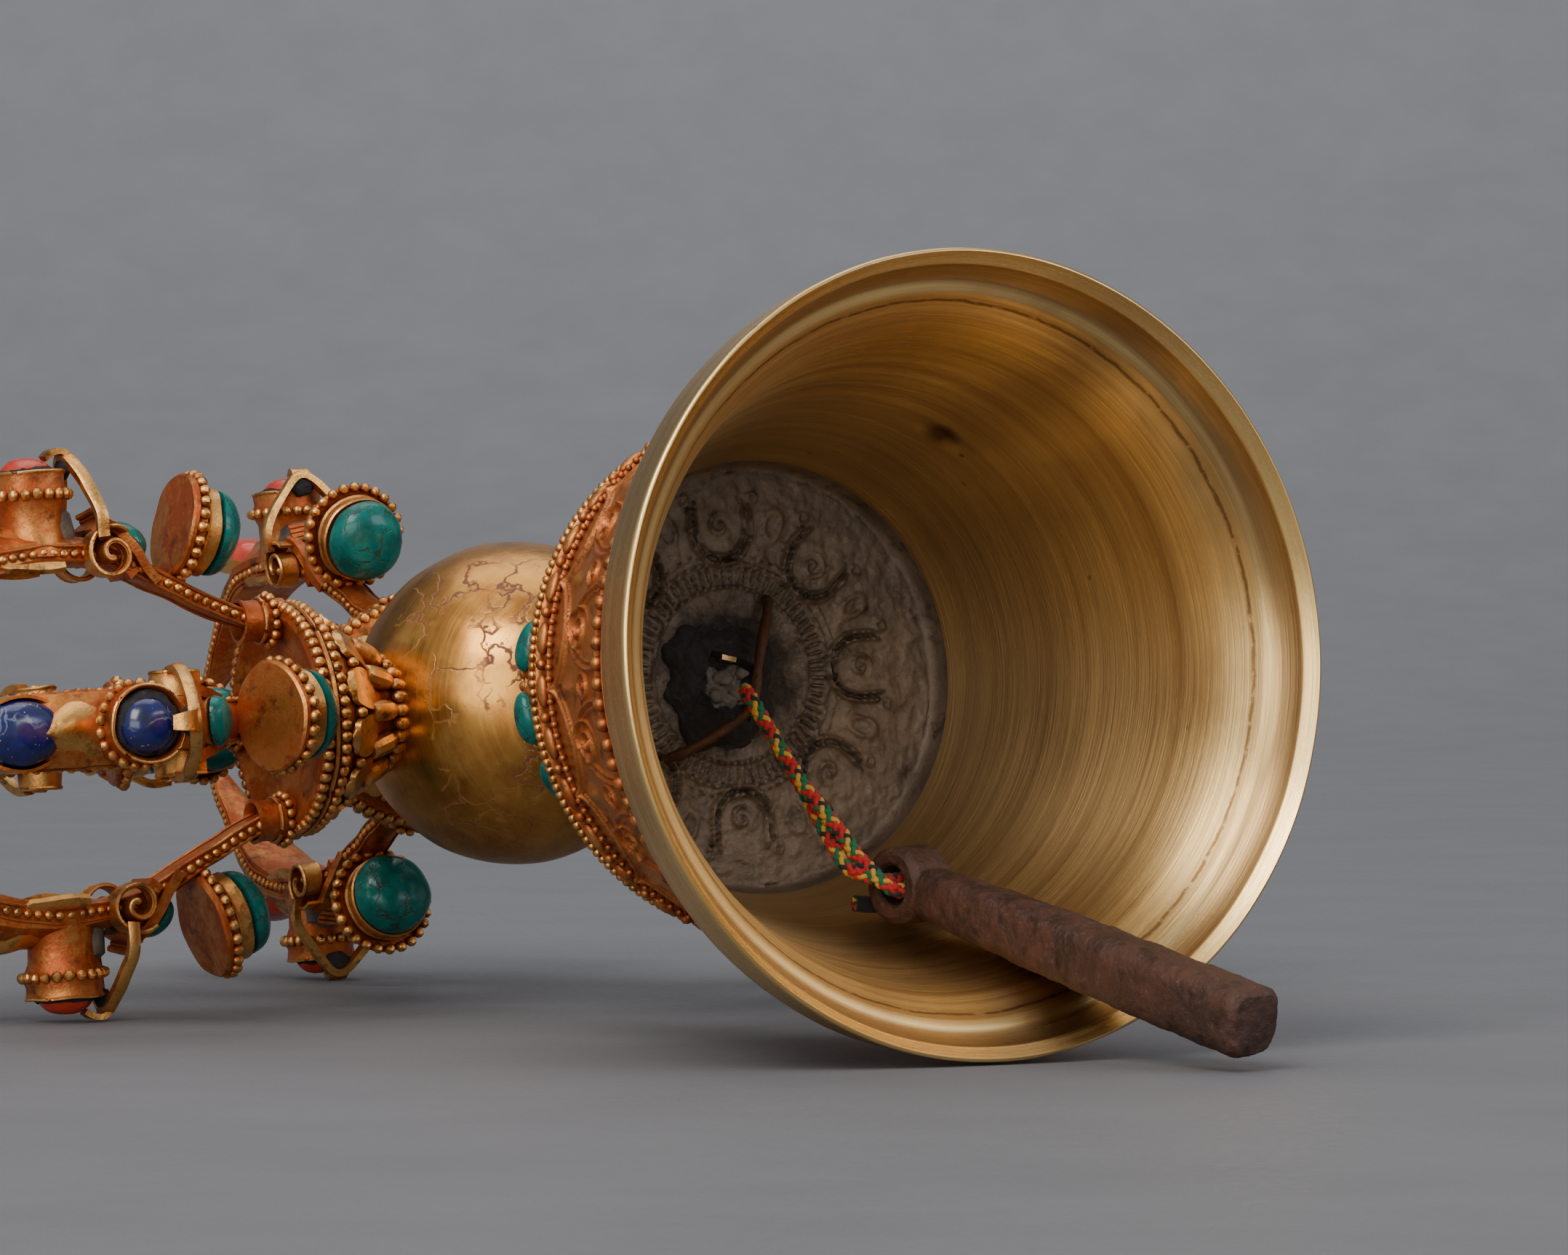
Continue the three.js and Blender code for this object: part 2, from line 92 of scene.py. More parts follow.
# ---- how the bell lies: the ball's box in the frame gives the place ----
AXIS_DIP = math.radians(3.37)
ROLL = math.radians(3.2)
turn = Euler((-(math.pi / 2 + AXIS_DIP), 0, 0)).to_matrix() @ Euler((0, 0, -ROLL)).to_matrix()
ball_low, ball_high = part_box("hub_ball")
mouth_middle = (ball_low + ball_high) / 2 - turn @ Vector((0, 0, HUB_Z * MM))
LIE = Matrix.Translation(mouth_middle) @ turn.to_4x4()


def into_scene(name, data):
    obj = bpy.data.objects.new(name, data)
    bpy.context.scene.collection.objects.link(obj)
    return obj


# ---- camera, at the viewing angle of the reference ----
CAMERA_FROM_MOUTH = Vector((-0.34917, -0.57236, 0.00296))
CAMERA_BEARING = math.radians(29.405)
CAMERA_LENS = 133.58
camera = into_scene("camera", bpy.data.cameras.new("camera"))
camera.location = mouth_middle + CAMERA_FROM_MOUTH
camera.rotation_euler = (math.radians(90), 0, -CAMERA_BEARING)
camera.data.lens = CAMERA_LENS
camera.data.clip_start, camera.data.clip_end = 0.02, 20
bpy.context.scene.camera = camera


# ---- materials ----
class Nodes:
    """One material's node tree, with short calls for the nodes used here.  Lengths are millimetres."""

    def __init__(self, name):
        self.material = bpy.data.materials.new(name)
        self.material.use_nodes = True
        self.tree = self.material.node_tree
        self.tree.nodes.clear()
        place = self.tree.nodes.new("ShaderNodeTexCoord").outputs["Object"]
        self.mm = self.add("ShaderNodeVectorMath", {0: place, "Scale": 1 / MM}, operation="SCALE").outputs[0]
        self.shader = self.add("ShaderNodeBsdfPrincipled")
        self.add("ShaderNodeOutputMaterial", {"Surface": self.shader.outputs[0]})

    def add(self, kind, inputs=(), **settings):
        node = self.tree.nodes.new(kind)
        for key, value in settings.items():
            setattr(node, key, value)
        for key, value in dict(inputs).items():
            self.feed(node.inputs[key], value)
        return node

    def feed(self, socket, value):
        if isinstance(value, bpy.types.NodeSocket):
            self.tree.links.new(value, socket)
        else:
            socket.default_value = value

    def stretched(self, scale, place=None):
        inputs = {"Vector": place or self.mm, "Scale": scale}
        return self.add("ShaderNodeMapping", inputs).outputs[0]

    def noise(self, size, detail=4, rough=0.55, warp=0.0, place=None):
        inputs = {"Vector": place or self.mm, "Scale": 1 / size, "Detail": detail, "Roughness": rough,
                  "Distortion": warp}
        return self.add("ShaderNodeTexNoise", inputs).outputs["Fac"]

    def cells(self, size, feature="F1", place=None, output="Distance"):
        inputs = {"Vector": place or self.mm, "Scale": 1 / size}
        return self.add("ShaderNodeTexVoronoi", inputs, feature=feature).outputs[output]

    def warped(self, amount, size):
        """The place, pushed about by noise, so that lines wander."""
        inputs = {"Vector": self.mm, "Scale": 1 / size, "Detail": 3}
        push = self.add("ShaderNodeTexNoise", inputs).outputs["Color"]
        for inputs, operation in (
                ({1: (0.5, 0.5, 0.5)}, "SUBTRACT"), ({"Scale": amount}, "SCALE"), ({1: self.mm}, "ADD")):
            push = self.add("ShaderNodeVectorMath", {0: push, **inputs}, operation=operation).outputs[0]
        return push

    def height(self):
        return self.add("ShaderNodeSeparateXYZ", {0: self.mm}).outputs["Z"]

    def math(self, operation, a, b=0.0, clamp=False):
        return self.add("ShaderNodeMath", {0: a, 1: b}, operation=operation, use_clamp=clamp).outputs[0]

    def plus(self, a, b):
        return self.math("ADD", a, b)

    def times(self, a, b):
        return self.math("MULTIPLY", a, b)

    def swing(self, value, amount):
        """Noise about zero instead of about a half, that many times as strong."""
        return self.times(self.math("SUBTRACT", value, 0.5), amount)

    def band(self, value, low, high, start=0.0, end=1.0):
        """The value, from low to high, as start to end, clamped."""
        inputs = {"Value": value, "From Min": low, "From Max": high, "To Min": start, "To Max": end}
        return self.add("ShaderNodeMapRange", inputs).outputs[0]

    def mix(self, factor, a, b):
        node = self.add("ShaderNodeMix", {0: factor}, data_type="RGBA")
        for index, value in ((6, a), (7, b)):
            if not isinstance(value, bpy.types.NodeSocket):
                value = (*value, 1)
            self.feed(node.inputs[index], value)
        return node.outputs[2]

    def recess(self, distance):
        """1 on open faces, falling to 0 in the hollows."""
        inputs = {"Distance": distance * MM}
        return self.add("ShaderNodeAmbientOcclusion", inputs, samples=4, only_local=True).outputs["AO"]

    def away_from(self, place):
        """Distance from that place."""
        return self.add("ShaderNodeVectorMath", {0: self.mm, 1: place}, operation="DISTANCE").outputs["Value"]

    def bump(self, height, depth, strength=1.0, normal=None):
        inputs = {"Height": height, "Distance": depth * MM, "Strength": strength}
        if normal:
            inputs["Normal"] = normal
        return self.add("ShaderNodeBump", inputs).outputs[0]

    def finish(self, **inputs):
        for key, value in inputs.items():
            socket = self.shader.inputs[key.replace("_", " ")]
            if isinstance(value, tuple) and len(value) == 3:
                value = (*value, 1)
            self.feed(socket, value)
        return self.material


def brass_material(name, light, dark, roughness, inside):
    """Turned brass: fine lines round the axis, cloudy tarnish and a few dark pits."""
    n = Nodes(name)
    lines = n.noise(1, 5, 0.7, place=n.stretched((0.035, 0.035, 4.2)))
    wide = n.noise(1, 4, 0.6, place=n.stretched((0.012, 0.012, 0.55)))
    cloud = n.noise(16, 5, 0.6)
    tarnish = n.band(n.plus(n.times(lines, 0.5), n.times(wide, 0.6)), 0.42, 0.68)
    colour = n.mix(tarnish, light, dark)
    colour = n.mix(n.band(cloud, 0.5, 0.75, 0, 0.6), colour, dark)
    if inside:
        # Painted shade: the inside wall darkens toward the deep end of the cup.
        colour = n.mix(n.band(n.height(), 10, 50, 0, 0.7), colour, (0.36, 0.25, 0.135))
        step = n.times(n.band(n.height(), 1.6, 1.8), n.band(n.height(), 4.3, 4.6, 1, 0))
        colour = n.mix(n.times(step, 0.6), colour, (0.26, 0.14, 0.06))
        offset = n.plus(n.height(), n.swing(n.noise(3, 4), 0.8))
        line = n.band(n.math("ABSOLUTE", n.math("SUBTRACT", offset, 6.45)), 0.1, 0.3, 1, 0)
        line = n.times(line, n.band(n.noise(1.4, 3), 0.3, 0.45))
        colour = n.mix(n.times(line, 0.75), colour, (0.16, 0.07, 0.025))
        # Painted shade: a dark patch over the dent in the inside wall.
        colour = n.mix(n.band(n.away_from(DENT), 1, 2.8, 0.85, 0), colour, (0.09, 0.045, 0.02))
    specks = n.band(n.cells(5.5), 0.02, 0.09, 1, 0)
    chosen = n.band(n.noise(9, 2), 0.56, 0.62)
    pits = n.times(specks, chosen)
    colour = n.mix(n.times(pits, 0.8), colour, (0.10, 0.045, 0.018))
    rough = n.band(lines, 0.3, 0.75, roughness - 0.07, roughness + 0.1)
    groove = n.bump(n.plus(lines, n.times(wide, 0.7)), 0.07, 0.7)
    surface = n.bump(n.math("SUBTRACT", n.times(n.noise(2.2, 4), 0.4), pits), 0.06, 0.5, groove)
    if inside:
        n.shader.inputs["Anisotropic"].default_value = 0.8
        n.shader.inputs["Anisotropic Rotation"].default_value = 0.25
        tangent = n.add("ShaderNodeTangent", direction_type="RADIAL", axis="Z").outputs[0]
        n.feed(n.shader.inputs["Tangent"], tangent)
    return n.finish(Base_Color=colour, Metallic=1.0, Roughness=rough, Normal=surface)


def gilt_material(name, gold, lacquer, wear, cover, hollow=1.6):
    """Gilding over relief: orange-red lacquer in the hollows, darkened by painted shade in the deepest ones,
    gold where rubbed.  More cover, less gold.
    """
    n = Nodes(name)
    open_face = n.recess(hollow)
    grain = n.noise(1.1, 5, 0.65)
    patch = n.noise(5.5, 4, 0.6)
    raised = n.plus(open_face, n.swing(grain, 0.55))
    raised = n.plus(raised, n.swing(patch, wear))
    rubbed = n.band(raised, 0.6 + cover, 0.98 + cover)
    gold_tone = n.mix(n.band(patch, 0.35, 0.68), gold, [c * k for c, k in zip(gold, (0.86, 0.66, 0.5))])
    # Painted shade: the lacquer darkens to a third of its colour in the deepest hollows.
    lacquer_and_painted_shade = n.mix(n.band(open_face, 0.1, 0.5), [c * 0.3 for c in lacquer], lacquer)
    colour = n.mix(rubbed, lacquer_and_painted_shade, gold_tone)
    soot = n.times(n.band(n.noise(2.8, 5, 0.65), 0.54, 0.68), 0.75)
    colour = n.mix(soot, colour, (0.075, 0.022, 0.008))
    metal = n.band(rubbed, 0, 1, 0.7, 1.0)
    rough = n.band(rubbed, 0, 1, 0.46, 0.27)
    rough = n.plus(rough, n.swing(grain, 0.25))
    surface = n.bump(n.noise(0.42, 4, 0.65), 0.09, 0.7)
    surface = n.bump(n.noise(2.4, 3), 0.12, 0.35, surface)
    return n.finish(Base_Color=colour, Metallic=metal, Roughness=rough, Normal=surface)


def ball_material():
    """Brushed gilding, cracked and rubbed through to red-brown in places."""
    n = Nodes("ball_gilt")
    along = n.noise(1, 5, 0.7, place=n.stretched((0.06, 0.06, 2.6)))
    cross = n.noise(1, 4, 0.7, place=n.stretched((1.6, 1.6, 0.09)))
    patch = n.noise(8, 5, 0.62)
    colour = n.mix(n.band(patch, 0.3, 0.75), (0.70, 0.355, 0.085), (0.44, 0.18, 0.04))
    colour = n.mix(n.band(along, 0.5, 0.75, 0, 0.35), colour, (0.80, 0.45, 0.125))
    mottle = n.noise(5, 6, 0.7)
    colour = n.mix(n.band(mottle, 0.48, 0.66, 0, 0.6), colour, (0.36, 0.12, 0.032))
    neck_side = n.band(n.height(), HUB_Z - 4, HUB_Z - HUB_R)
    edges = n.cells(5.2, "DISTANCE_TO_EDGE", n.warped(5.5, 3.2))
    crack = n.band(edges, 0.016, 0.05, 1, 0)
    where = n.band(n.plus(n.noise(12, 3), n.times(neck_side, 0.36)), 0.64, 0.72)
    crack = n.times(crack, where)
    bare = n.band(n.plus(n.noise(4.6, 5, 0.7), n.times(neck_side, 0.2)), 0.74, 0.79)
    worn = n.math("MAXIMUM", crack, bare)
    colour = n.mix(worn, colour, (0.17, 0.055, 0.022))
    metal = n.band(worn, 0, 1, 1.0, 0.25)
    rough = n.math("ADD", n.band(along, 0.3, 0.7, 0.24, 0.36), n.times(worn, 0.35), clamp=True)
    surface = n.bump(n.plus(n.times(along, 0.6), n.times(cross, 0.4)), 0.03, 0.4)
    surface = n.bump(n.math("SUBTRACT", n.noise(9, 2), worn), 0.07, 0.5, surface)
    return n.finish(Base_Color=colour, Metallic=metal, Roughness=rough, Normal=surface)


def cast_material():
    """Rough cast metal, grey-brown, with painted shade in the hollows, soot patches and a faint shine on what
    stands up.
    """
    n = Nodes("cast_crown")
    open_face = n.recess(1.2)
    sand = n.noise(0.5, 6, 0.75)
    patch = n.noise(7, 5, 0.6)
    colour = n.mix(n.band(patch, 0.35, 0.7), (0.24, 0.18, 0.13), (0.13, 0.10, 0.075))
    colour = n.mix(n.band(sand, 0.5, 0.72, 0, 0.65), colour, (0.32, 0.25, 0.18))
    # Painted shade: near black in the hollows of the relief.
    colour = n.mix(n.band(open_face, 0.35, 0.9, 0.85, 0), colour, (0.03, 0.018, 0.012))
    soot = n.times(n.band(n.noise(4, 5, 0.7), 0.56, 0.66), 0.6)
    colour = n.mix(soot, colour, (0.05, 0.034, 0.026))
    away = n.away_from((*CROWN_CENTRE, CROWN_FLOOR_Z))
    away = n.plus(away, n.swing(n.noise(3.5, 5, 0.7), 12))
    colour = n.mix(n.band(away, 7.5, 12, 0.9, 0), colour, (0.012, 0.009, 0.008))
    metal = n.band(sand, 0.4, 0.7, 0.5, 0.95)
    rough = n.band(sand, 0.3, 0.75, 0.55, 0.34)
    surface = n.bump(sand, 0.14, 0.9)
    surface = n.bump(n.noise(1.7, 4), 0.16, 0.6, surface)
    return n.finish(Base_Color=colour, Metallic=metal, Roughness=rough, Normal=surface)


def pitch_material():
    n = Nodes("black_pitch")
    lump = n.noise(0.8, 5, 0.7)
    colour = n.mix(n.band(lump, 0.55, 0.75), (0.011, 0.009, 0.008), (0.05, 0.042, 0.036))
    return n.finish(Base_Color=colour, Roughness=n.band(lump, 0.3, 0.7, 0.7, 0.95),
                    Normal=n.bump(lump, 0.25, 0.9))


def filler_material():
    n = Nodes("cream_filler")
    lump = n.noise(1.2, 5, 0.65)
    colour = n.mix(n.band(lump, 0.35, 0.7), (0.15, 0.125, 0.10), (0.06, 0.048, 0.038))
    return n.finish(Base_Color=colour, Roughness=0.75, Normal=n.bump(lump, 0.2, 0.8))


def iron_material(name, bright, rust, grain):
    n = Nodes(name)
    patch = n.noise(grain * 5, 6, 0.68, 0.4)
    sand = n.noise(grain, 5, 0.7)
    grey = n.noise(grain * 9, 4, 0.6)
    colour = n.mix(n.band(patch, 0.36, 0.64), bright, rust)
    colour = n.mix(n.band(grey, 0.55, 0.72, 0, 0.6), colour, (0.05, 0.038, 0.045))
    colour = n.mix(n.band(sand, 0.58, 0.75, 0, 0.65), colour, [min(c * 2.5, 0.5) for c in bright])
    pits = n.band(n.cells(grain * 3.2), 0.08, 0.28, 1, 0)
    colour = n.mix(n.times(pits, 0.4), colour, (0.02, 0.009, 0.007))
    rough = n.band(patch, 0.35, 0.7, 0.5, 0.78)
    surface = n.bump(n.math("SUBTRACT", sand, n.times(pits, 0.5)), grain * 0.3, 0.8)
    surface = n.bump(patch, grain * 0.5, 0.6, surface)
    return n.finish(Base_Color=colour, Metallic=n.band(patch, 0.4, 0.65, 0.75, 0.25), Roughness=rough,
                    Normal=surface)


def turquoise_material():
    """Blue-green stone with dark wandering matrix lines and a polished skin."""
    n = Nodes("turquoise")
    tone = n.noise(3.2, 5, 0.6)
    colour = n.mix(n.band(tone, 0.38, 0.66), (0.0, 0.15, 0.12), (0.0, 0.07, 0.062))
    colour = n.mix(n.band(n.noise(0.9, 5, 0.7), 0.55, 0.75, 0, 0.35), colour, (0.002, 0.26, 0.205))
    edges = n.cells(3.4, "DISTANCE_TO_EDGE", n.warped(2.6, 1.6))
    veins = n.times(n.band(edges, 0.012, 0.045, 1, 0), n.band(n.noise(5, 3), 0.42, 0.56))
    colour = n.mix(n.times(veins, 0.85), colour, (0.03, 0.035, 0.022))
    brown = n.times(n.band(n.noise(1.8, 5, 0.7), 0.64, 0.7), 0.6)
    colour = n.mix(brown, colour, (0.12, 0.075, 0.035))
    surface = n.bump(veins, -0.05, 0.6)
    surface = n.bump(n.noise(2.5, 2), 0.1, 0.3, surface)
    return n.finish(Base_Color=colour, Roughness=n.band(tone, 0.3, 0.7, 0.16, 0.26), Normal=surface,
                    Specular_IOR_Level=0.32)


def coral_material():
    n = Nodes("coral")
    tone = n.noise(2.6, 4, 0.6)
    colour = n.mix(n.band(tone, 0.35, 0.68), (0.56, 0.036, 0.007), (0.32, 0.016, 0.004))
    holes = n.times(n.band(n.cells(1.5), 0.1, 0.22, 1, 0), n.band(n.noise(2, 2), 0.55, 0.6))
    colour = n.mix(n.times(holes, 0.9), colour, (0.03, 0.01, 0.008))
    return n.finish(Base_Color=colour, Roughness=n.band(tone, 0.3, 0.7, 0.24, 0.4),
                    Normal=n.bump(holes, -0.12, 0.8), Coat_Weight=0.3, Coat_Roughness=0.15)


def lapis_material():
    """Deep blue stone with gold flecks and pale threads."""
    n = Nodes("lapis")
    tone = n.noise(2.4, 6, 0.65)
    colour = n.mix(n.band(tone, 0.36, 0.66), (0.004, 0.009, 0.105), (0.003, 0.005, 0.032))
    edges = n.cells(7, "DISTANCE_TO_EDGE", n.warped(6, 3.4))
    thread = n.times(n.band(edges, 0.006, 0.03, 1, 0), n.band(n.noise(4, 3), 0.48, 0.6))
    colour = n.mix(n.times(thread, 0.55), colour, (0.22, 0.24, 0.32))
    flecks = n.times(n.band(n.cells(0.62), 0.1, 0.2, 1, 0), n.band(n.noise(2.2, 3), 0.55, 0.62))
    colour = n.mix(flecks, colour, (0.5, 0.34, 0.12))
    return n.finish(Base_Color=colour, Roughness=n.band(tone, 0.3, 0.7, 0.16, 0.3),
                    Normal=n.bump(tone, 0.04, 0.4), Coat_Weight=0.4, Coat_Roughness=0.1)


def thread_material(name, colour):
    n = Nodes(name)
    fibre = n.noise(0.16, 4, 0.7)
    shade = n.mix(n.band(fibre, 0.3, 0.75), [c * 0.62 for c in colour], [min(1, c * 1.25) for c in colour])
    return n.finish(Base_Color=shade, Roughness=0.8, Normal=n.bump(fibre, 0.06, 0.8), Sheen_Weight=0.08)


def paper_material(name, colour, amount):
    """Matt paint with faint scuffs."""
    n = Nodes(name)
    scuff = n.noise(38, 5, 0.6)
    grain = n.noise(1.3, 4, 0.7)
    darker, lighter = ([c * (1 + change) for c in colour] for change in (-amount, amount))
    shade = n.mix(n.band(scuff, 0.35, 0.7), darker, lighter)
    return n.finish(Base_Color=shade, Roughness=n.band(grain, 0.3, 0.7, 0.55, 0.7),
                    Normal=n.bump(grain, 0.05, 0.4))


BRASS = brass_material("turned_brass", (0.88, 0.61, 0.25), (0.48, 0.29, 0.115), 0.32, True)
BRASS_LIP = brass_material("brass_lip", (0.94, 0.66, 0.29), (0.72, 0.44, 0.15), 0.28, False)
GILT = gilt_material("gilt_relief", (0.82, 0.48, 0.15), (0.40, 0.082, 0.016), 0.9, 0.32)
GILT_SHEET = gilt_material("gilt_sheet", (0.80, 0.44, 0.135), (0.40, 0.088, 0.018), 0.9, 0.24, 1.2)
GILT_BRIGHT = gilt_material("gilt_bright", (0.86, 0.52, 0.165), (0.42, 0.10, 0.02), 0.6, 0.08)
BALL = ball_material()
CAST = cast_material()
PITCH = pitch_material()
FILLER = filler_material()
WIRE = iron_material("rusty_wire", (0.115, 0.052, 0.028), (0.06, 0.02, 0.01), 0.5)
IRON = iron_material("rusty_rod", (0.07, 0.042, 0.034), (0.085, 0.031, 0.016), 0.9)
TURQUOISE = turquoise_material()
CORAL = coral_material()
LAPIS = lapis_material()
THREADS = [thread_material(f"thread_{name}", colour) for name, colour in (
    ("red", (0.46, 0.008, 0.008)), ("green", (0.003, 0.13, 0.045)), ("yellow", (0.60, 0.32, 0.03)),
    ("black", (0.012, 0.012, 0.013)),
)]


# ---- shapes: a list of points and a list of faces, in millimetres ----
def polar(radius, angle, height=0):
    return Vector((radius * math.cos(angle), radius * math.sin(angle), height))


def loft(rings, loop=False):
    """Joins rings of points; a ring of one point is a tip, and open end rings are filled."""
    points, faces, starts = [], [], []
    for ring in rings:
        starts.append(len(points))
        points += ring
    for i in range(len(rings) if loop else len(rings) - 1):
        k = (i + 1) % len(rings)
        a, b = len(rings[i]), len(rings[k])
        sides = max(a, b)
        for j in range(sides):
            after = (j + 1) % sides
            face = [starts[i] + j % a, starts[i] + after % a, starts[k] + after % b, starts[k] + j % b]
            faces.append(list(dict.fromkeys(face)))
    if not loop:
        if len(rings[0]) > 2:
            faces.append(list(range(len(rings[0])))[::-1])
        if len(rings[-1]) > 2:
            faces.append([starts[-1] + j for j in range(len(rings[-1]))])
    return points, faces


def lathe(profile, sides, loop=False, ripple=None):
    rings = []
    for radius, height in profile:
        if radius == 0:
            rings.append([Vector((0, 0, height))])
            continue
        ring = []
        for j in range(sides):
            angle = TAU * j / sides
            r = radius + (ripple(angle, radius, height) if ripple else 0)
            ring.append(polar(r, angle, height))
        rings.append(ring)
    return loft(rings, loop)


def smooth_row(rows, steps):
    """Catmull-Rom through rows of numbers, with that many steps between each two."""
    rows = [np.array(row, float) for row in rows]
    rows = [2 * rows[0] - rows[1], *rows, 2 * rows[-1] - rows[-2]]
    out = []
    for a, b, c, d in zip(rows, rows[1:], rows[2:], rows[3:]):
        for i in range(steps):
            t = i / steps
            out.append(0.5 * (2 * b + (c - a) * t + (2 * a - 5 * b + 4 * c - d) * t ** 2
                              + (3 * b - a - 3 * c + d) * t ** 3))
    return [*out, rows[-2]]


def smooth_line(points, steps):
    return [Vector(p) for p in smooth_row(points, steps)]


def even_row(points, count):
    """The same line with that many points, evenly apart."""
    points = np.array([tuple(p) for p in points], float)
    walked = np.concatenate([[0], np.cumsum(np.linalg.norm(np.diff(points, axis=0), axis=1))])
    wanted = np.linspace(0, walked[-1], count)
    return [Vector([np.interp(w, walked, points[:, i]) for i in range(points.shape[1])]) for w in wanted]


def line_length(points):
    return sum((b - a).length for a, b in zip(points, points[1:]))


def frames_along(points, side=None):
    """A pair of directions across the line at each point, turning as little as it can."""
    out = []
    across = side
    for i in range(len(points)):
        along = (points[min(i + 1, len(points) - 1)] - points[max(i - 1, 0)]).normalized()
        if across is None:
            across = along.orthogonal()
        across = (across - along * across.dot(along)).normalized()
        out.append((across, along.cross(across)))
    return out


def tube(points, radius, sides=8, loop=False, side=None):
    """A round tube; radius is a number or a function of how far along, from 0 to 1."""
    rings = []
    if loop:
        around = [*points, points[0], points[1]]
        frames = [frames_along(around[i - 1:i + 2] if i else [points[-1], points[0], points[1]], side)[1]
                  for i in range(len(points))]
    else:
        frames = frames_along(points, side)
    for i, (point, (a, b)) in enumerate(zip(points, frames)):
        r = radius(i / (len(points) - 1)) if callable(radius) else radius
        rings.append([point + (a * math.cos(t) + b * math.sin(t)) * r
                      for t in (TAU * k / sides for k in range(sides))])
    return loft(rings, loop)


def strap(points, side, width, thick, swell=0.0):
    """A flat strap whose width lies along side; width is a number or a function of how far along."""
    rings = []
    for i, (point, (across, out)) in enumerate(zip(points, frames_along(points, side))):
        w = (width(i / (len(points) - 1)) if callable(width) else width) / 2
        h = thick / 2
        outline = [(-w, -h), (-w * 0.5, -h), (w * 0.5, -h), (w, -h), (w, h), (w * 0.5, h + swell),
                   (-w * 0.5, h + swell), (-w, h)]
        rings.append([point + across * x + out * y for x, y in outline])
    return loft(rings)


def pearl(radius, rings=5, sides=9):
    profile = [(0, -radius)]
    for i in range(1, rings):
        angle = math.pi * i / rings
        profile.append((radius * math.sin(angle), -radius * math.cos(angle)))
    return lathe([*profile, (0, radius)], sides)


def stone(radius, height, sides=32, stretch=1.0, point=0.0, rows=9):
    """A polished cabochon standing on z = 0, longer along y by stretch, with one end drawn out by point."""
    profile = [(0, 0)]
    for i in range(rows + 1):
        angle = math.pi / 2 * i / rows
        profile.append((radius * math.cos(angle) ** 0.8 if i < rows else 0, 0.25 * height + 0.75 * height
                        * math.sin(angle)))
    points, faces = lathe(profile, sides)
    for p in points:
        lean = p.y / radius
        p.x *= 1 - point * lean
        p.y *= stretch
    return points, faces


def moved(shape, matrix):
    return [matrix @ p for p in shape[0]], shape[1]


def spin(angle):
    """A turn about +Z."""
    return Matrix.Rotation(angle, 4, "Z")


def at(x, y, z, rx=0, ry=0, rz=0):
    return Matrix.Translation((x, y, z)) @ Euler((rx, ry, rz)).to_matrix().to_4x4()


class Piece:
    """The shapes of one object, each with its material."""

    def __init__(self):
        self.points, self.faces, self.looks, self.materials = [], [], [], []

    def put(self, shape, look, matrix=None):
        points, faces = moved(shape, matrix) if matrix else shape
        start = len(self.points)
        if look not in self.materials:
            self.materials.append(look)
        self.points += [p.copy() for p in points]
        self.faces += [[start + i for i in face] for face in faces]
        self.looks += [self.materials.index(look)] * len(faces)
        return self

    def repaint(self, look, chosen):
        """Gives that material to every face whose middle is chosen."""
        self.materials.append(look)
        for i, face in enumerate(self.faces):
            if chosen(sum((self.points[k] for k in face), Vector()) / len(face)):
                self.looks[i] = len(self.materials) - 1
        return self

    def beads(self, places, radius, look, matrix=None):
        for place in places:
            bead = moved(pearl(radius), Matrix.Translation(place))
            self.put(bead, look, matrix)
        return self


def ring_of(radius, height, count, start=0.0):
    """Places evenly round a ring; start is a share of the step."""
    return [polar(radius, TAU * (i + start) / count, height) for i in range(count)]


def rough_up(points, amount, size, seed=0):
    """Hand-made unevenness: every point is pushed a little by smooth noise."""
    shift = Vector((seed * 13.7, seed * 7.1, seed * 3.3))
    return [p + noise.noise_vector(p / size + shift) * amount for p in points]


def show(name, piece, body="bell", replaced=(), matrix=None, sharp=35, uneven=0.0, seed=0):
    """Makes the Blender object of a piece drawn in the bell frame, puts it under its body's empty and hides
    the parts it replaces.
    """
    points = [matrix @ p for p in piece.points] if matrix else piece.points
    if uneven:
        points = rough_up(points, uneven, 4.0, seed)
    mesh = bpy.data.meshes.new(name)
    mesh.from_pydata([p * MM for p in points], [], piece.faces)
    for look in piece.materials:
        mesh.materials.append(look)
    mesh.polygons.foreach_set("material_index", piece.looks)
    mesh.shade_smooth()
    mesh.set_sharp_from_angle(angle=math.radians(sharp))
    obj = into_scene(name, mesh)
    obj.matrix_world = LIE
    bpy.context.view_layer.update()
    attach(obj, body)
    if replaced:
        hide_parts(*replaced)
    return obj


# ---- the cord: one braided string doubled through the clapper's eye and over the wire ----
CORD_D = 1.8
CORD_GAP = 0.9
TAIL_BOUND = 5
back = (CLAPPER_EYE - CLAPPER_END).normalized()
level = Vector((0, 1, 0)).cross(back).normalized()
CLAPPER = Matrix.Translation(CLAPPER_EYE) @ Matrix((
    level.cross(back), level, back)).transposed().to_4x4()


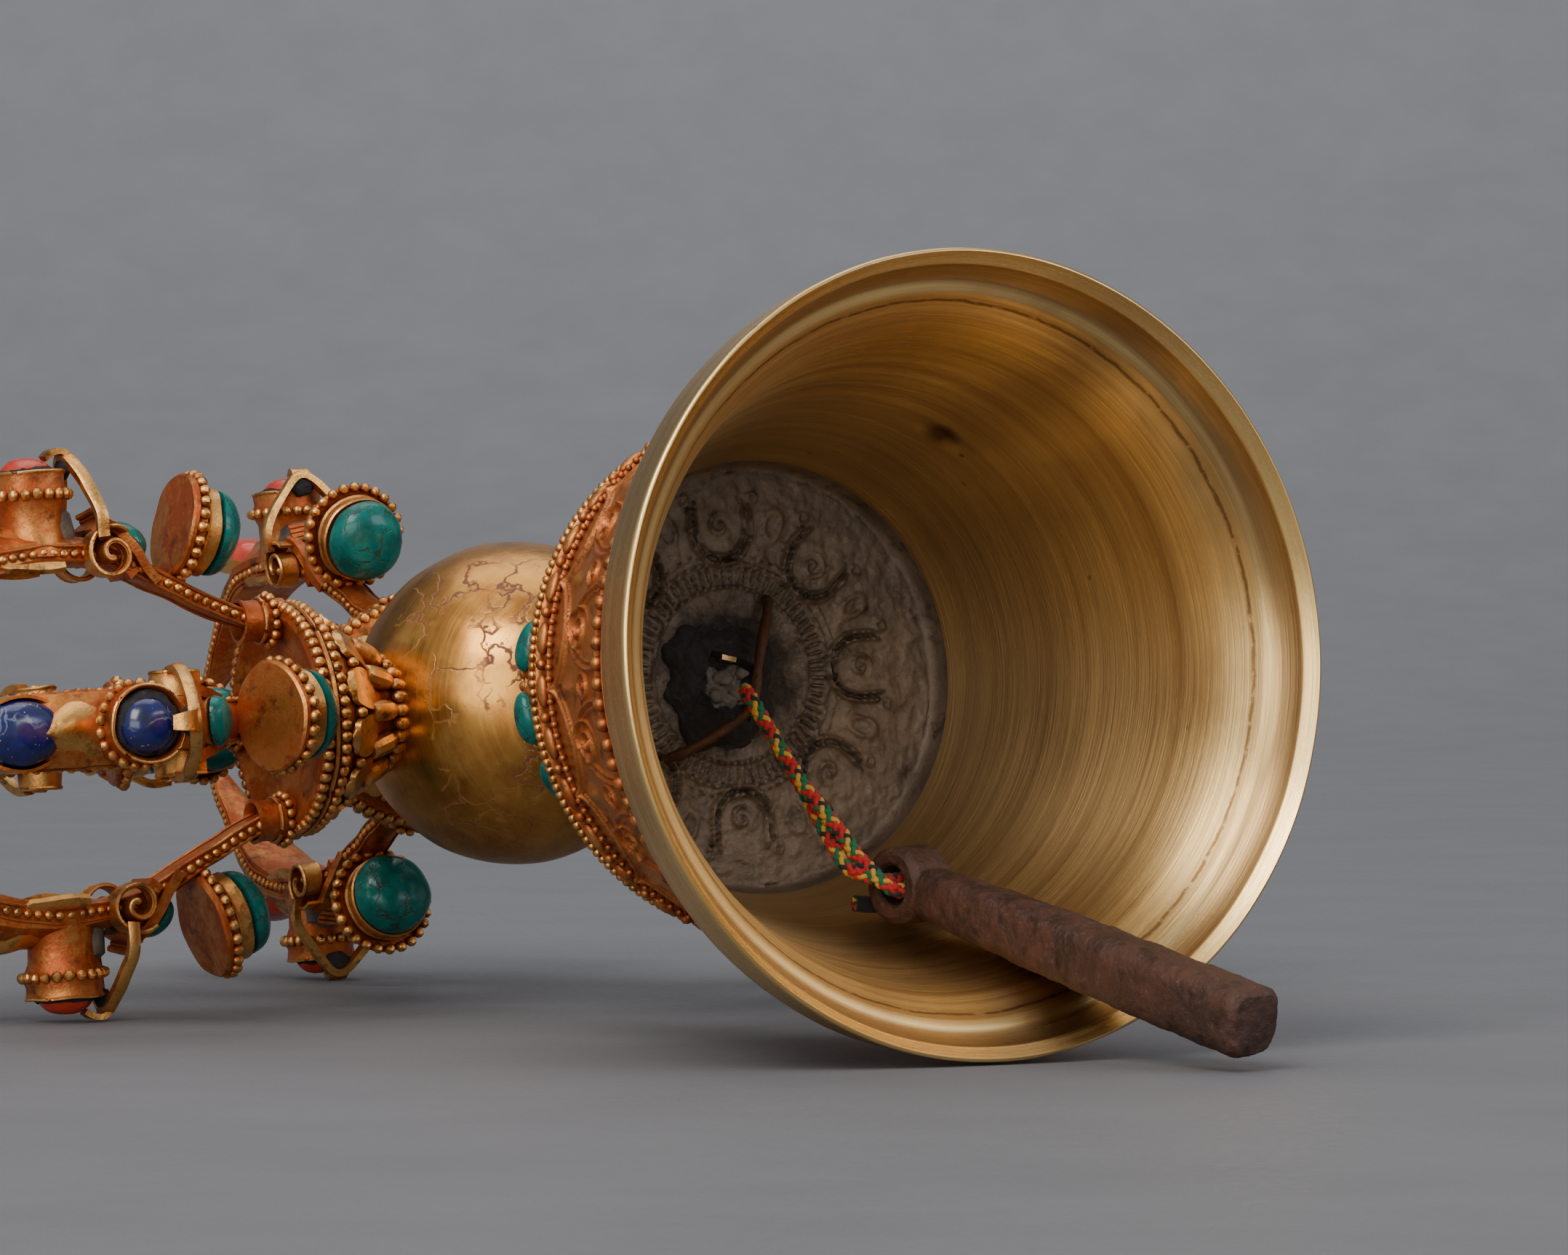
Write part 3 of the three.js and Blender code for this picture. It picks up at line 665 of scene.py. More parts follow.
def cord_line():
    """Middle line of the string, from its long tail, up over the wire and down to its short tail."""
    front = CLAPPER @ Vector((0, -EYE_THICK / 2 - 2.2, 1.6))
    away = (front - STAPLE_EYE).normalized()
    wire = Vector((-0.5, 0.82, 0))
    across = (wire - away * wire.dot(away)).normalized().cross(away)
    facing = Vector((0.87, 0, -0.49))
    facing = (facing - away * facing.dot(away)).normalized()
    bend = 1.9 * CORD_D
    crest = STAPLE_EYE - away * (WIRE_R + CORD_D / 2)
    middle = crest + away * bend
    over = [middle + across * bend * math.cos(t) - away * bend * math.sin(t)
            for t in (math.pi * i / 8 for i in range(9))]

    def strand(sign):
        """From the hole's face up to the loop, the pair turning from side by side to one behind the other."""
        out = []
        for step in range(1, 8):
            t = step / 8
            apart = facing.lerp(across, min(1, t * 1.5)).normalized()
            wide = CORD_GAP + (bend - CORD_GAP) * max(0, (t - 0.55) / 0.45) ** 2
            sag = Vector((0, 0.7 * math.sin(math.pi * t), 0))
            out.append(front.lerp(middle, t) + apart * wide * sign + sag)
        return out

    inside = [Vector((0, y, 0)) for y in (-EYE_THICK / 2 - 0.4, 0, EYE_THICK / 2 + 0.6)]
    long_tail = [(-4.2, -2.4, 6.6), (-4.3, -0.2, 5.9), (-4.3, 2.6, 4.7), (-3.6, 4.9, 2.9), (-1.5, 5.4, 0.6)]
    short_tail = [(0, 5.4, 0.2), (-0.6, 6, -2.2), (-1.2, 5.6, -4.6)]
    low, high = Vector((-0.2, 0, -CORD_GAP)), Vector((0.4, 0, CORD_GAP))
    line = [CLAPPER @ Vector(p) for p in long_tail]
    line += [CLAPPER @ (p + low) for p in reversed(inside)]
    line += strand(1)
    line += over
    line += reversed(strand(-1))
    line += [CLAPPER @ (p + high) for p in inside]
    line += [CLAPPER @ Vector(p) for p in short_tail]
    return smooth_line(line, 8)


def braid(line):
    """Eight yarns, half of them turning each way, each passing over and under the others."""
    line = even_row(line, 520)
    frames = frames_along(line)
    step = line_length(line) / (len(line) - 1)
    pitch, middle, lift, yarn = 5.2, 0.53, 0.13, 0.34
    order = [0, 2, 1, 0, 3, 0, 2, 1]
    piece = Piece()
    for k in range(8):
        hand = 1 if k < 4 else -1
        path = []
        for i, (point, (a, b)) in enumerate(zip(line, frames)):
            roll = TAU * i * step / pitch
            angle = hand * roll + (k % 4) * math.pi / 2
            r = middle + hand * lift * math.cos(4 * roll)
            path.append(point + (a * math.cos(angle) + b * math.sin(angle)) * r)
        piece.put(tube(path, yarn, 6), THREADS[order[k]])
    bound = round(TAIL_BOUND / step)
    piece.put(tube(line[:bound], lambda t: 1.02 + 0.04 * math.sin(70 * t), 12), THREADS[3])
    return piece


cord_path = cord_line()
cord_piece = show("braided_cord", braid(cord_path), "cord", ("cord", "cord_loop"), sharp=80)


# ---- the bell cup ----
def bell_cup():
    wall = [tuple(p) for p in smooth_row(INNER_WALL, 14)]
    outer = [(r - SHEET - 0.3, z) for r, z in smooth_row(SHEET_FACE, 6)]
    lip = [(47, 0.5), (46.95, 0.22), (46.78, 0.05), (46.6, 0), (46.3, 0.3), (45.5, 1.34), (45.32, 1.48),
           (45.22, 1.66), (45.16, 1.9), (44.5, 3.2), (43.9, 4.1), (43.6, 4.4), (43.2, 4.62), (42.8, 4.86)]
    band = [(42.6, 9.8), (44.2, 9.1), (45.6, 8), (46.1, 7.3), (46.28, 6.8), (46.5, 5), (46.75, 2.6),
            (46.92, 1.2)]
    profile = [*lip, *wall, (outer[-1][0], SHOULDER_Z), *reversed(outer), *band]
    piece = Piece().put(lathe(profile, 384, loop=True), BRASS)
    for p in piece.points:
        near = p - DENT
        if near.length < 6:
            along = Vector((-p.y, p.x, 0)).normalized()
            size = (near.dot(along) / 2.6) ** 2 + (near.z / 1.1) ** 2
            p.xy += p.xy.normalized() * 0.55 * math.exp(-size) * (1 + 0.4 * noise.noise(p * 2))
        wobble = 0.06 * noise.noise(Vector((p.x, p.y, p.z)) / 9)
        p.xy += p.xy.normalized() * wobble

    def on_lip_or_outside(middle):
        r = math.hypot(middle.x, middle.y)
        wall_r = np.interp(middle.z, [z for _, z in INNER_WALL], [r for r, _ in INNER_WALL])
        outside = middle.z > 0.4 and r > (wall_r + 0.6 if middle.z > 5 else 46.5)
        return outside or (middle.z < 1.5 and r > 45.3)

    return piece.repaint(BRASS_LIP, on_lip_or_outside)


def ridge(distance, width):
    return np.exp(-(distance / width) ** 2)


def curl(x, y, size, turns, phase=0.0):
    """A spiral ridge of that radius round the origin."""
    r, angle = np.hypot(x, y), np.arctan2(y, x)
    gap = size / turns
    line = np.abs((r / gap - (angle + phase) / TAU + 0.5) % 1 - 0.5) * gap
    return ridge(line, 0.3) * np.clip((size - r) / 0.4, 0, 1)


def sheet_relief(angle, t):
    """Relief of the sheet round the cup; t is the distance from the shoulder's edge toward the lip."""
    angle, t = np.broadcast_arrays(angle, t)
    radius = np.interp(t, [0, 12, 22, 41], [32.2, 33.6, 35.8, 41])
    panels = 16
    x = ((angle * panels / TAU) % 1 - 0.5) * TAU * radius / panels
    wide = TAU * radius / panels
    out = 0.5 * ridge(t - 0.6, 0.3) + 0.4 * ridge(t - 4.1, 0.22)
    swag = 6 + 3.4 * (1 - (2 * x / wide) ** 2)
    out += 0.55 * ridge(t - swag, 0.42) + 0.4 * ridge(t - swag - 1.2, 0.26)
    edge = wide / 2 - np.abs(x)
    out += 0.7 * ridge(np.hypot(edge / 1.1, (t - 10.6) / 2.2), 0.8)
    out += 0.55 * ridge(np.hypot(edge, t - 6), 0.85)
    out += 0.6 * curl(x, t - 15, 3.1, 2.2) + 0.5 * curl(edge, t - 16.4, 2.3, 1.8, 1.2)
    arch = np.hypot(x / 5.1, (t - 21.4) / 9.4)
    out += 0.55 * ridge((arch - 1) * 5.1, 0.34) * (t < 22.6)
    out += 0.4 * ridge((arch - 0.84) * 5.1, 0.22) * (t < 22.6)
    out += 0.5 * ridge(t - 23.2, 0.34) + 0.5 * ridge(t - 26.4, 0.34)
    ribs = 48
    across = np.abs((angle * ribs / TAU) % 1 - 0.5) * 2
    length = np.clip((t - 27.4) / 1.2, 0, 1) * np.clip((37.4 - 1.8 * across ** 2 - t) / 0.8, 0, 1)
    out += 0.85 * np.sqrt(np.clip(1 - across ** 2, 0, 1)) * length
    out += 0.5 * ridge(t - 38.9, 0.4)
    return out


def shoulder_sheet():
    columns, rows = 1280, 190
    face = even_row([(*p, 0) for p in smooth_row(SHEET_FACE[::-1], 8)], rows)
    t = np.linspace(0, line_length(face), rows)
    angle = np.arange(columns) * TAU / columns
    relief = sheet_relief(angle[None, :], t[:, None])
    rings = []
    for i, place in enumerate(face):
        rings.append([polar(place.x - 0.45 + relief[i, j], a, place.y) for j, a in enumerate(angle)])
    for i in (rows - 1, rows // 2, 0):
        place = face[i]
        rings.append([polar(place.x - SHEET, a, place.y) for a in angle])
    piece = Piece().put(loft(rings, loop=True), GILT_SHEET)

    def on_sheet(angle, t, proud):
        place = face[min(rows - 1, round(t / line_length(face) * (rows - 1)))]
        return polar(place.x + proud, angle, place.y)

    ovals = 32
    for i in range(ovals):
        angle = TAU * i / ovals
        turned = Matrix.Translation(on_sheet(angle, 2.4, -0.1)) @ spin(angle)
        piece.put(pearl(1, 6, 12), GILT_SHEET, turned @ Matrix.Diagonal((0.75, 2.1, 1.0, 1)))
        piece.beads([on_sheet(TAU * (i + 0.5) / ovals, 2.4, 0)], 0.72, GILT_SHEET)
    for t, count, size in ((4.9, 150, 0.46), (24.8, 96, 0.95)):
        piece.beads([on_sheet(TAU * i / count, t, 0.05) for i in range(count)], size, GILT_SHEET)
    return piece


def shoulder_edge():
    seat = [(29.9, 53.1), (31.2, 52.8), (31.5, 53.3), (31.2, 53.9), (29.9, 53.9)]
    piece = Piece().put(lathe(seat, 128, True), GILT_SHEET)
    return piece.beads(ring_of(SHOULDER_R - 0.5, SHOULDER_Z + 0.62, 184), 0.6, GILT_BRIGHT)


# ---- the crown ----
def crown_relief(x, y):
    """Cast relief of the crown's inside: rings, ticks and eight open petals, each with a generic curl."""
    x, y = x - CROWN_CENTRE[0], y - CROWN_CENTRE[1]
    r, angle = np.hypot(x, y), np.arctan2(y, x)
    out = 0.3 * ridge(r - 10.9, 0.2) + 0.26 * ridge(r - 13.9, 0.2)
    out += 0.28 * np.clip(np.cos(76 * angle), 0, 1) * ((r > 11.5) & (r < 13.3))
    sector = (angle + TAU / 16) % (TAU / 8) - TAU / 16
    which = np.round(angle * 8 / TAU)
    side, out_r = r * np.sin(sector), r * np.cos(sector) - 18.3
    cup = np.hypot(side, np.minimum(out_r, 0) * 0.92)
    inside = out_r < 3.4 - 0.12 * side ** 2 + 1.2
    out += (0.5 * ridge(cup - 4.3, 0.28) + 0.42 * ridge(cup - 3.35, 0.22)) * inside
    out += 0.24 * ridge(np.hypot(np.abs(side) - 4.9, out_r - 3.4) - 0.6, 0.2)
    for i in range(8):
        mine = (which % 8) == i
        out += 0.34 * mine * curl(side * (1 if i % 2 else -1), out_r - 0.2 + 0.4 * (i % 3), 1.9, 1.3, i * 0.9)
    between = np.abs(sector) * r
    between = np.hypot(r * np.sin(TAU / 16) - between, (r - 19.6) * 0.5)
    out += 0.26 * ridge(between - 0.9, 0.3) * (r > 15)
    out += 0.2 * ridge(r - 15 + 0.15 * np.cos(5 * angle), 0.12)
    return out


def crown():
    flat = [(CROWN_INNER_R * i / 104, CROWN_FLOOR_Z) for i in range(104)]
    top = [tuple(p) for p in smooth_row([(30.4, 56), (28.6, 58), (21, 59.4), (11, 60)], 12)]
    profile = [*flat, (CROWN_INNER_R, CROWN_FLOOR_Z), (26, 55.1), (26.4, 54.4), (26.7, 53), (30.4, 53),
               *top, (5, 60), (0, 60)]
    piece = Piece().put(lathe(profile, 512), CAST)
    heights = crown_relief(np.array([p.x for p in piece.points]), np.array([p.y for p in piece.points]))
    for p, h in zip(piece.points, heights):
        r = math.hypot(p.x, p.y)
        if p.z < CROWN_FLOOR_Z + 0.1 and r < CROWN_INNER_R - 0.2:
            grit = 0.3 * noise.noise(p * 0.5) + 0.16 * noise.noise(p * 1.4) + 0.1 * noise.noise(p * 3.3)
            p.z -= 1.6 * float(h) * min(1, (CROWN_INNER_R - r) / 0.6) + grit
        if p.z > 56.1 and r > 12:
            angle = math.atan2(p.y, p.x)
            swell = abs(math.cos(4 * angle)) ** 0.5
            p.z += 0.9 * (swell - 0.5) * min(1, (r - 12) / 3)
    return piece.repaint(GILT_SHEET, lambda middle: middle.z > CROWN_FLOOR_Z + 0.4
                         or math.hypot(middle.x, middle.y) > 30)


def pitch_lump():
    """A lump of pitch round the middle, with a squarish hollow broken into it and crumbs left inside."""
    middle = Vector((-3.6, 0, CROWN_FLOOR_Z - 0.1))
    piece = Piece()
    spokes, steps = 120, 46
    rings = []
    for i in range(steps + 1):
        ring = []
        for j in range(spokes):
            a = TAU * j / spokes
            around = Vector((math.cos(a), math.sin(a), 0.4))
            reach = 7.9 + 2.6 * noise.noise(around * 1.1) + 1.6 * noise.noise(around * 2.9)
            r = reach * i / steps
            x, y = r * math.cos(a), r * math.sin(a)
            u = (x + 0.6) * math.cos(0.35) + (y - 0.8) * math.sin(0.35)
            v = -(x + 0.6) * math.sin(0.35) + (y - 0.8) * math.cos(0.35)
            square = max(abs(u) / 3.5, abs(v) / 3.2)
            body = 2.8 * max(0, 1 - (r / reach) ** 2.4)
            hollow = 2.1 * min(1, max(0, (1.08 - square) / 0.16))
            spot = Vector((x, y, 0))
            rough = sum(height * noise.noise(spot * often)
                        for height, often in ((0.55, 0.55), (0.32, 1.3), (0.16, 3)))
            height = body - min(hollow, body * 0.92) + rough
            ring.append(middle + Vector((x, y, -max(0.02, height) if i < steps else 0.35)))
        rings.append(ring if i else [ring[0]])
    piece.put(loft(rings), PITCH)

    def in_hollow(place):
        spot = place - middle
        return max(abs(spot.x + 0.6), abs(spot.y - 0.8)) < 2.3 + 1.2 * noise.noise(spot * 0.8)

    piece.repaint(FILLER, in_hollow)
    grey = [(-0.9, -0.2, -0.7, 1.5, 0.9), (0.9, 1.6, -0.6, 1.1, 1.3), (-2.0, 1.9, -0.5, 0.9, 0.9),
            (1.7, -0.6, -0.6, 1, 0.7)]
    for x, y, z, wide, tall in grey:
        place = Matrix.Translation(middle + Vector((x, y, z))) @ Matrix.Diagonal((wide, tall, 0.8, 1))
        lump = moved(pearl(1, 10, 16), place)
        piece.put((rough_up(lump[0], 0.3, 0.8), lump[1]), FILLER)
    scrap = ((-1.6, -3.1), (0.4, -2.6), (0.2, -2), (-1.7, -2.5))
    piece.put(loft([[middle + Vector((x, y, z)) for x, y in scrap] for z in (-0.4, -2.3)]), BRASS_LIP)
    return piece


def wire_staple():
    line = smooth_line(STAPLE, 10)
    piece = Piece().put(tube(line, lambda t: WIRE_R * (0.86 + 0.1 * math.sin(37 * t)), 12), WIRE)
    piece.points = rough_up(piece.points, 0.12, 1.2)
    return piece


# ---- neck and ball ----
def ball():
    profile = [(0, -HUB_R)]
    for i in range(1, 96):
        angle = math.pi * i / 96
        profile.append((HUB_R * math.sin(angle), -HUB_R * math.cos(angle)))
    piece = Piece().put(lathe([*profile, (0, HUB_R)], 192), BALL)
    middle = Vector((0, 0, HUB_Z))
    piece.points = [p + middle + p.normalized() * 0.16 * noise.noise(p / 7) for p in piece.points]
    return piece


def neck():
    base = [(0, 60.3), (14.6, 60.3), (15.4, 60.8), (15.6, 61.6), (15.2, 62.6), (14, 63.6), (11.8, 66),
            (10.4, 69), (10.2, 72), (11, 75), (12.8, 77.6), (14.6, 79.4), (15.4, 82.4), (14.9, 84.6),
            (0, 84.8)]
    piece = Piece().put(lathe(base, 96), GILT)
    rings = ((15.5, 61.2, 56, 0.85), (10.7, 69.2, 44, 0.72), (12.9, 77.6, 52, 0.75))
    for radius, height, count, size in rings:
        piece.beads(ring_of(radius, height, count), size, GILT)
    for i in range(12):
        angle = TAU * (i + 0.5) / 12
        petal = smooth_line([(14.4, 0, 63.4), (13, 0, 65.6), (11.6, 0, 67.8), (12.6, 0, 68.9)], 4)
        shape = strap(petal, SIDEWAYS, lambda t: 4.6 - 3 * t, 0.7, 0.3)
        piece.put(shape, GILT, spin(angle))
    for i in range(12):
        angle = TAU * i / 12 - 0.15
        place = spin(angle) @ at(16.2, 0, 82.6, 0, math.pi / 2, 0)
        piece.put(stone(2.45, 1.5, 24, 1.7, 0.16, 3), GILT, place)
        piece.put(stone(1.95, 2.2, 28, 1.75, 0.16), TURQUOISE, place @ at(0, 0, 0.8))
    return piece


# ---- the heads ----
def lotus():
    s = HUB_FLAT
    body = [(0, s), (6.4, s), (6.7, 21.6), (7.2, 23), (9.4, 25.4), (11.6, 28), (12.7, 30), (12.9, 31.2),
            (0, 31.2)]
    piece = Piece().put(lathe(body, 96), GILT)
    piece.beads(ring_of(7.3, 20.5, 26), 0.92, GILT_BRIGHT)
    for i in range(12):
        turned = spin(TAU * i / 12)
        row = [(7.4, 0, 21.8), (8.2, 0, 22.8), (9, 0, 24.2), (9.8, 0, 25.6), (10.2, 0, 26.2)]
        tab = tube(smooth_line(row, 4), lambda t: 1.05 + 0.4 * math.sin(math.pi * t) ** 0.6, 10)
        piece.put(tab, GILT_BRIGHT, turned)
        leaf = [(9.2, 0, 25.2), (11.2, 0, 27), (12.6, 0, 28.6), (13.3, 0, 29.6), (13.9, 0, 29.7)]
        shape = strap(smooth_line(leaf, 5), SIDEWAYS,
                      lambda t: 5.4 * math.sin(math.pi * min(1, 0.25 + 0.72 * t)) ** 0.7, 0.75, 0.4)
        piece.put(shape, GILT_BRIGHT, turned @ spin(TAU / 24))
        piece.beads([Vector((12.9, 0, 28.7))], 0.75, GILT_BRIGHT, turned)
    return piece


def double_ring(with_sockets):
    mid = (RING_START + RING_END) / 2
    profile = [(0, RING_START), (13.6, RING_START), (14.5, 31.6), (14.8, 32.3), (14.1, mid), (14.8, 34),
               (14.4, 34.7), (13.4, 34.9), (12.2, 34.3), (9.5, 33.6), (6, 33.2), (0, 33)]
    piece = Piece().put(lathe(profile, 96), GILT)
    for height in (31.95, 34.25):
        piece.beads(ring_of(14.75, height, 60, 0.5 * (height > mid)), 0.8, GILT_BRIGHT)
    piece.put(tube(ring_of(15.1, mid, 72), 0.3, 6, loop=True), GILT_BRIGHT)
    if not with_sockets:
        return piece
    for i in range(4):
        place = spin(math.pi / 2 * i) @ Matrix.Translation((SEAT_R + 0.2, 0, 0))
        r = SOCKET_R + 0.3
        pipe = [(r - 0.45, 33.2), (r, 33.2), (r, 36), (r - 0.15, 38.4), (r + 0.15, 39.4), (r - 0.3, 39.5),
                (r - 0.6, 38.6)]
        piece.put(lathe(pipe, 28, True), GILT, place)
        piece.beads(ring_of(r + 0.35, 35.2, 14), 0.68, GILT_BRIGHT, place)
        piece.put(tube(ring_of(r + 0.1, 36.5, 28), 0.28, 6, loop=True), GILT_BRIGHT, place)
    return piece


def centre_point():
    outline = [(2, 33.4), (1.9, 44), (3.4, 48), (3.4, 51), (2, 55), (2.6, 72), (3, 84), (1.7, 94),
               (0.2, 102.4)]
    profile = [(max(0.1, r), z) for r, z in smooth_row(outline, 6)]
    piece = Piece().put(lathe([(0, 33.4), *profile, (0, HEAD_REACH - 0.2)], 24), GILT)
    for height in (46.4, 52.6, 74):
        piece.beads(ring_of(2.9, height, 14), 0.55, GILT_BRIGHT)
    return piece


def round_setting(piece, random_turn, place):
    """The setting that faces the ball, with its back plate on z = 0: plate, pearled rim and bezel."""
    plate = [(0, 0), (6.7, 0), (7, 0.3), (7, 0.8), (6.7, 1.1), (0, 1.1)]
    piece.put(lathe(plate, 48), GILT, place)
    piece.beads(ring_of(6.9, 1.5, 25, random_turn), 0.78, GILT_BRIGHT, place)
    bezel = [(0, 1), (5.6, 1), (5.7, 2.4), (5.95, 2.6), (5.75, 2.9), (5.9, 4.4), (5.7, 4.6), (5.4, 4.4),
             (0, 4.3)]
    piece.put(lathe(bezel, 48), GILT_BRIGHT, place)


SMOOTH_ARM = np.array(smooth_row(ARM, 6))


def arm_section(s):
    """Inner radius, outer radius and width of the bar at that distance from the ball's centre."""
    return [float(np.interp(s, SMOOTH_ARM[:, 0], SMOOTH_ARM[:, i])) for i in (1, 2, 3)]


def arm_bar(piece):
    rings = []
    for s in np.linspace(ARM[0][0] - 0.6, ARM[-1][0], 64):
        low, high, width = arm_section(s)
        h, eave = width / 2, low + (high - low) * 0.68
        outline = [(low, -h * 0.8), (low - 0.1, 0), (low, h * 0.8), (low + 0.25, h), (eave, h),
                   (high - 0.2, h * 0.55), (high, 0), (high - 0.2, -h * 0.55), (eave, -h), (low + 0.25, -h)]
        rings.append([Vector((r, y, s)) for r, y in outline])
    piece.put(loft(rings), GILT)
    row, wires = [], ([], [])
    for s in np.arange(38, 99, 0.6):
        low, high, width = arm_section(s)
        middle = low + (high - low) * 0.34
        row.append(Vector((middle, width / 2 + 0.02, s)))
        for wire, lift in zip(wires, (-0.95, 0.95)):
            wire.append(Vector((middle + lift, width / 2 + 0.05, s)))
    for side in (1, -1):
        mirror = Matrix.Diagonal((1, side, 1, 1))
        count = round(line_length(row) / 1.42)
        piece.beads([mirror @ p for p in even_row(row, count)], 0.64, GILT_BRIGHT)
        for wire in wires:
            shape = tube([mirror @ p for p in wire], 0.24, 6)
            piece.put(shape, GILT)


def cup(piece, gem, rng):
    place = at(CUP_FOOT, 0, CUP_S, 0, math.pi / 2, 0)
    wall = [(0, -1), (5.1, -1), (4.7, 0.8), (4.3, 3), (4.4, 5.4), (4.8, 6.4), (5, 7.6), (4.7, 8.4),
            (4.9, 9.9), (4.65, 10.1), (4.4, 9.7), (4.2, 8.6), (0, 8.6)]
    piece.put(lathe(wall, 40), GILT, place)
    piece.beads(ring_of(5.15, 7.1, 21, rng.random()), 0.74, GILT_BRIGHT, place)
    piece.put(tube(ring_of(4.85, 9.9, 40), 0.22, 6, loop=True), GILT_BRIGHT, place)
    pitch = lathe([(0, 8.5), (4.35, 8.5), (4.2, 9.6), (3.6, 10.4), (2.5, 10.6), (0, 10.6)], 40)
    piece.put((rough_up(pitch[0], 0.35, 1.1, rng.random()), pitch[1]), PITCH, place)
    points, faces = stone(3.75, CUP_STONE_TOP - CUP_TOP + 1.5, 40)
    shift = Vector((rng.uniform(-0.2, 0.2), rng.uniform(-0.2, 0.2), 8.1))
    piece.put(([p + shift for p in points], faces), gem, place)
    filler = lathe([(0, 0.4), (3.2, 0.4), (3.4, 2), (3, 4.6), (2, 5.6), (0, 5.8)], 24)
    behind = at(CUP_FOOT, 0, CUP_S - 2.4, 0, math.pi / 2, 0)
    piece.put((rough_up(filler[0], 0.4, 1.6), filler[1]), FILLER, behind)


def leaf_plate(piece):
    """The gold leaf that wraps the cup's foot on both sides and points over the big oval stone."""
    columns, rows = 13, 19
    grid = []
    for i in range(rows):
        t = i / (rows - 1)
        s = 64.6 + 14.4 * t
        width = arm_section(s)[2]
        half = (width / 2 + 0.45) * (1 if t < 0.6 else max(0.03, 1 - (t - 0.6) / 0.4))
        crown_r = 27.4 - 0.5 * t
        foot_r = crown_r - 5.2 * (half / (width / 2)) ** 2
        row = []
        for j in range(columns):
            u = 2 * j / (columns - 1) - 1
            r = foot_r + (crown_r - foot_r) * math.cos(u * math.pi / 2) ** 0.6 if abs(u) < 1 else foot_r
            row.append(Vector((r + 0.25 * math.sin(9 * t + 3 * u), half * u, s)))
        grid.append([*row, *[Vector((p.x - 0.55, p.y * 0.9, p.z)) for p in reversed(row)]])
    piece.put(loft(grid), GILT_BRIGHT)


def scrolls(piece):
    centre_r, centre_s = 22.4, 58.8
    for side in (1, -1):
        line = []
        for i in range(44):
            t = i / 43
            angle = math.radians(-40 + 585 * t)
            r = 3.1 * (1 - t) ** 0.85 + 0.55
            line.append(Vector((centre_r + r * math.cos(angle), side * (4.9 + 0.9 * t),
                                centre_s + r * math.sin(angle))))
        piece.put(strap(line, SIDEWAYS, lambda t: 3.1 - 1.1 * t, 0.42), GILT_BRIGHT)
        piece.beads([line[-1]], 0.62, GILT_BRIGHT)
        for offset in (-1.5, 1.5):
            rim = [p + Vector((0, offset * (1 - 0.35 * i / 43), 0)) for i, p in enumerate(line)]
            piece.put(tube(rim, 0.27, 6), GILT_BRIGHT)
        rail = [(18.8, 2.6, 51.4), (20.6, 3, 53), (23, 3.4, 54.8), (25.4, 3.8, 56.8), (26.2, 4.2, 58.2)]
        rail = [Vector((x, side * y, z)) for x, y, z in rail]
        piece.put(strap(smooth_line(rail, 6), SIDEWAYS, 1.5, 1.3), GILT)
    half = [(24.6, 6.6, 60), (27.4, 6.7, 60.2), (30.2, 5.4, 60.6), (32.8, 3.4, 61.2), (34.8, 1.5, 61.8)]
    arch = [(r, -y, s) for r, y, s in half] + [(35.4, 0, 62)] + half[::-1]
    line = smooth_line(arch, 7)
    piece.put(strap(line, Vector((0.3, 0, 0.95)), 1.5, 1.0, 0.15), GILT_BRIGHT)
    tip = [(35.2, 0, 61.6), (36.1, 0, 62.6), (36, 0, 63.8), (35.3, 0, 64.8)]
    piece.put(strap(smooth_line(tip, 6), SIDEWAYS, lambda t: 3 - 1.2 * t, 0.8), GILT_BRIGHT)
    glue = moved(pearl(1, 10, 16), Matrix.Translation((34, 0, 62.2)) @ Matrix.Diagonal((1.5, 2, 0.8, 1)))
    piece.put((rough_up(glue[0], 0.3, 0.9), glue[1]), PITCH)


def slope(piece, rng):
    """The ribbed block on the slope and its small oval turquoise."""
    place = at(23.4, 0, 56.2, 0, math.radians(143), 0)
    for half, height, drop in ((3.3, 0, 1.8), (2.8, 0.9, 1)):
        outline = [(-4.4, -half), (3.9, -half), (3.9, half), (-4.4, half)]
        block = [[Vector((x, y, level)) for x, y in outline] for level in (height, height - drop)]
        piece.put(loft(block), GILT, place)
    for x in (-5.2, -4.4, -3.6, -2.8):
        rib = [Vector((x, y, 1.3 - 0.05 * y * y)) for y in np.linspace(-3.9, 3.9, 9)]
        piece.put(tube(rib, 0.46, 7), GILT, place)
    cell = stone(3.35, 1.5, 32, 1.06, 0, 3)
    piece.put(cell, GILT_BRIGHT, place @ at(0.6, 0, 0.6))
    gem = stone(3, 2.7, 32, 1.08, 0.05 * rng.uniform(-1, 1))
    piece.put(gem, TURQUOISE, place @ at(0.6, 0, 1.3))


def big_oval(piece, gem):
    place = at(22.6, 0, 81, 0, math.pi / 2 + math.radians(12), 0)
    cell = moved(stone(4.7, 2.4, 36, rows=4), Matrix.Diagonal((1.4, 1, 1, 1)))
    piece.put(cell, GILT, place)
    body = moved(stone(4.2, 4.4, 40), at(0, 0, 0.7) @ Matrix.Diagonal((1.45, 1, 1, 1)))
    piece.put(body, gem, place)
    for side in (1, -1):
        angles = np.linspace(0.15, math.pi - 0.15, 20)
        rim = [Vector((6.5 * math.cos(a), side * 4.6 * math.sin(a), 1.6)) for a in angles]
        piece.put(strap(rim, Vector((0, 0, 1)), 2.2, 0.4), GILT_BRIGHT, place)


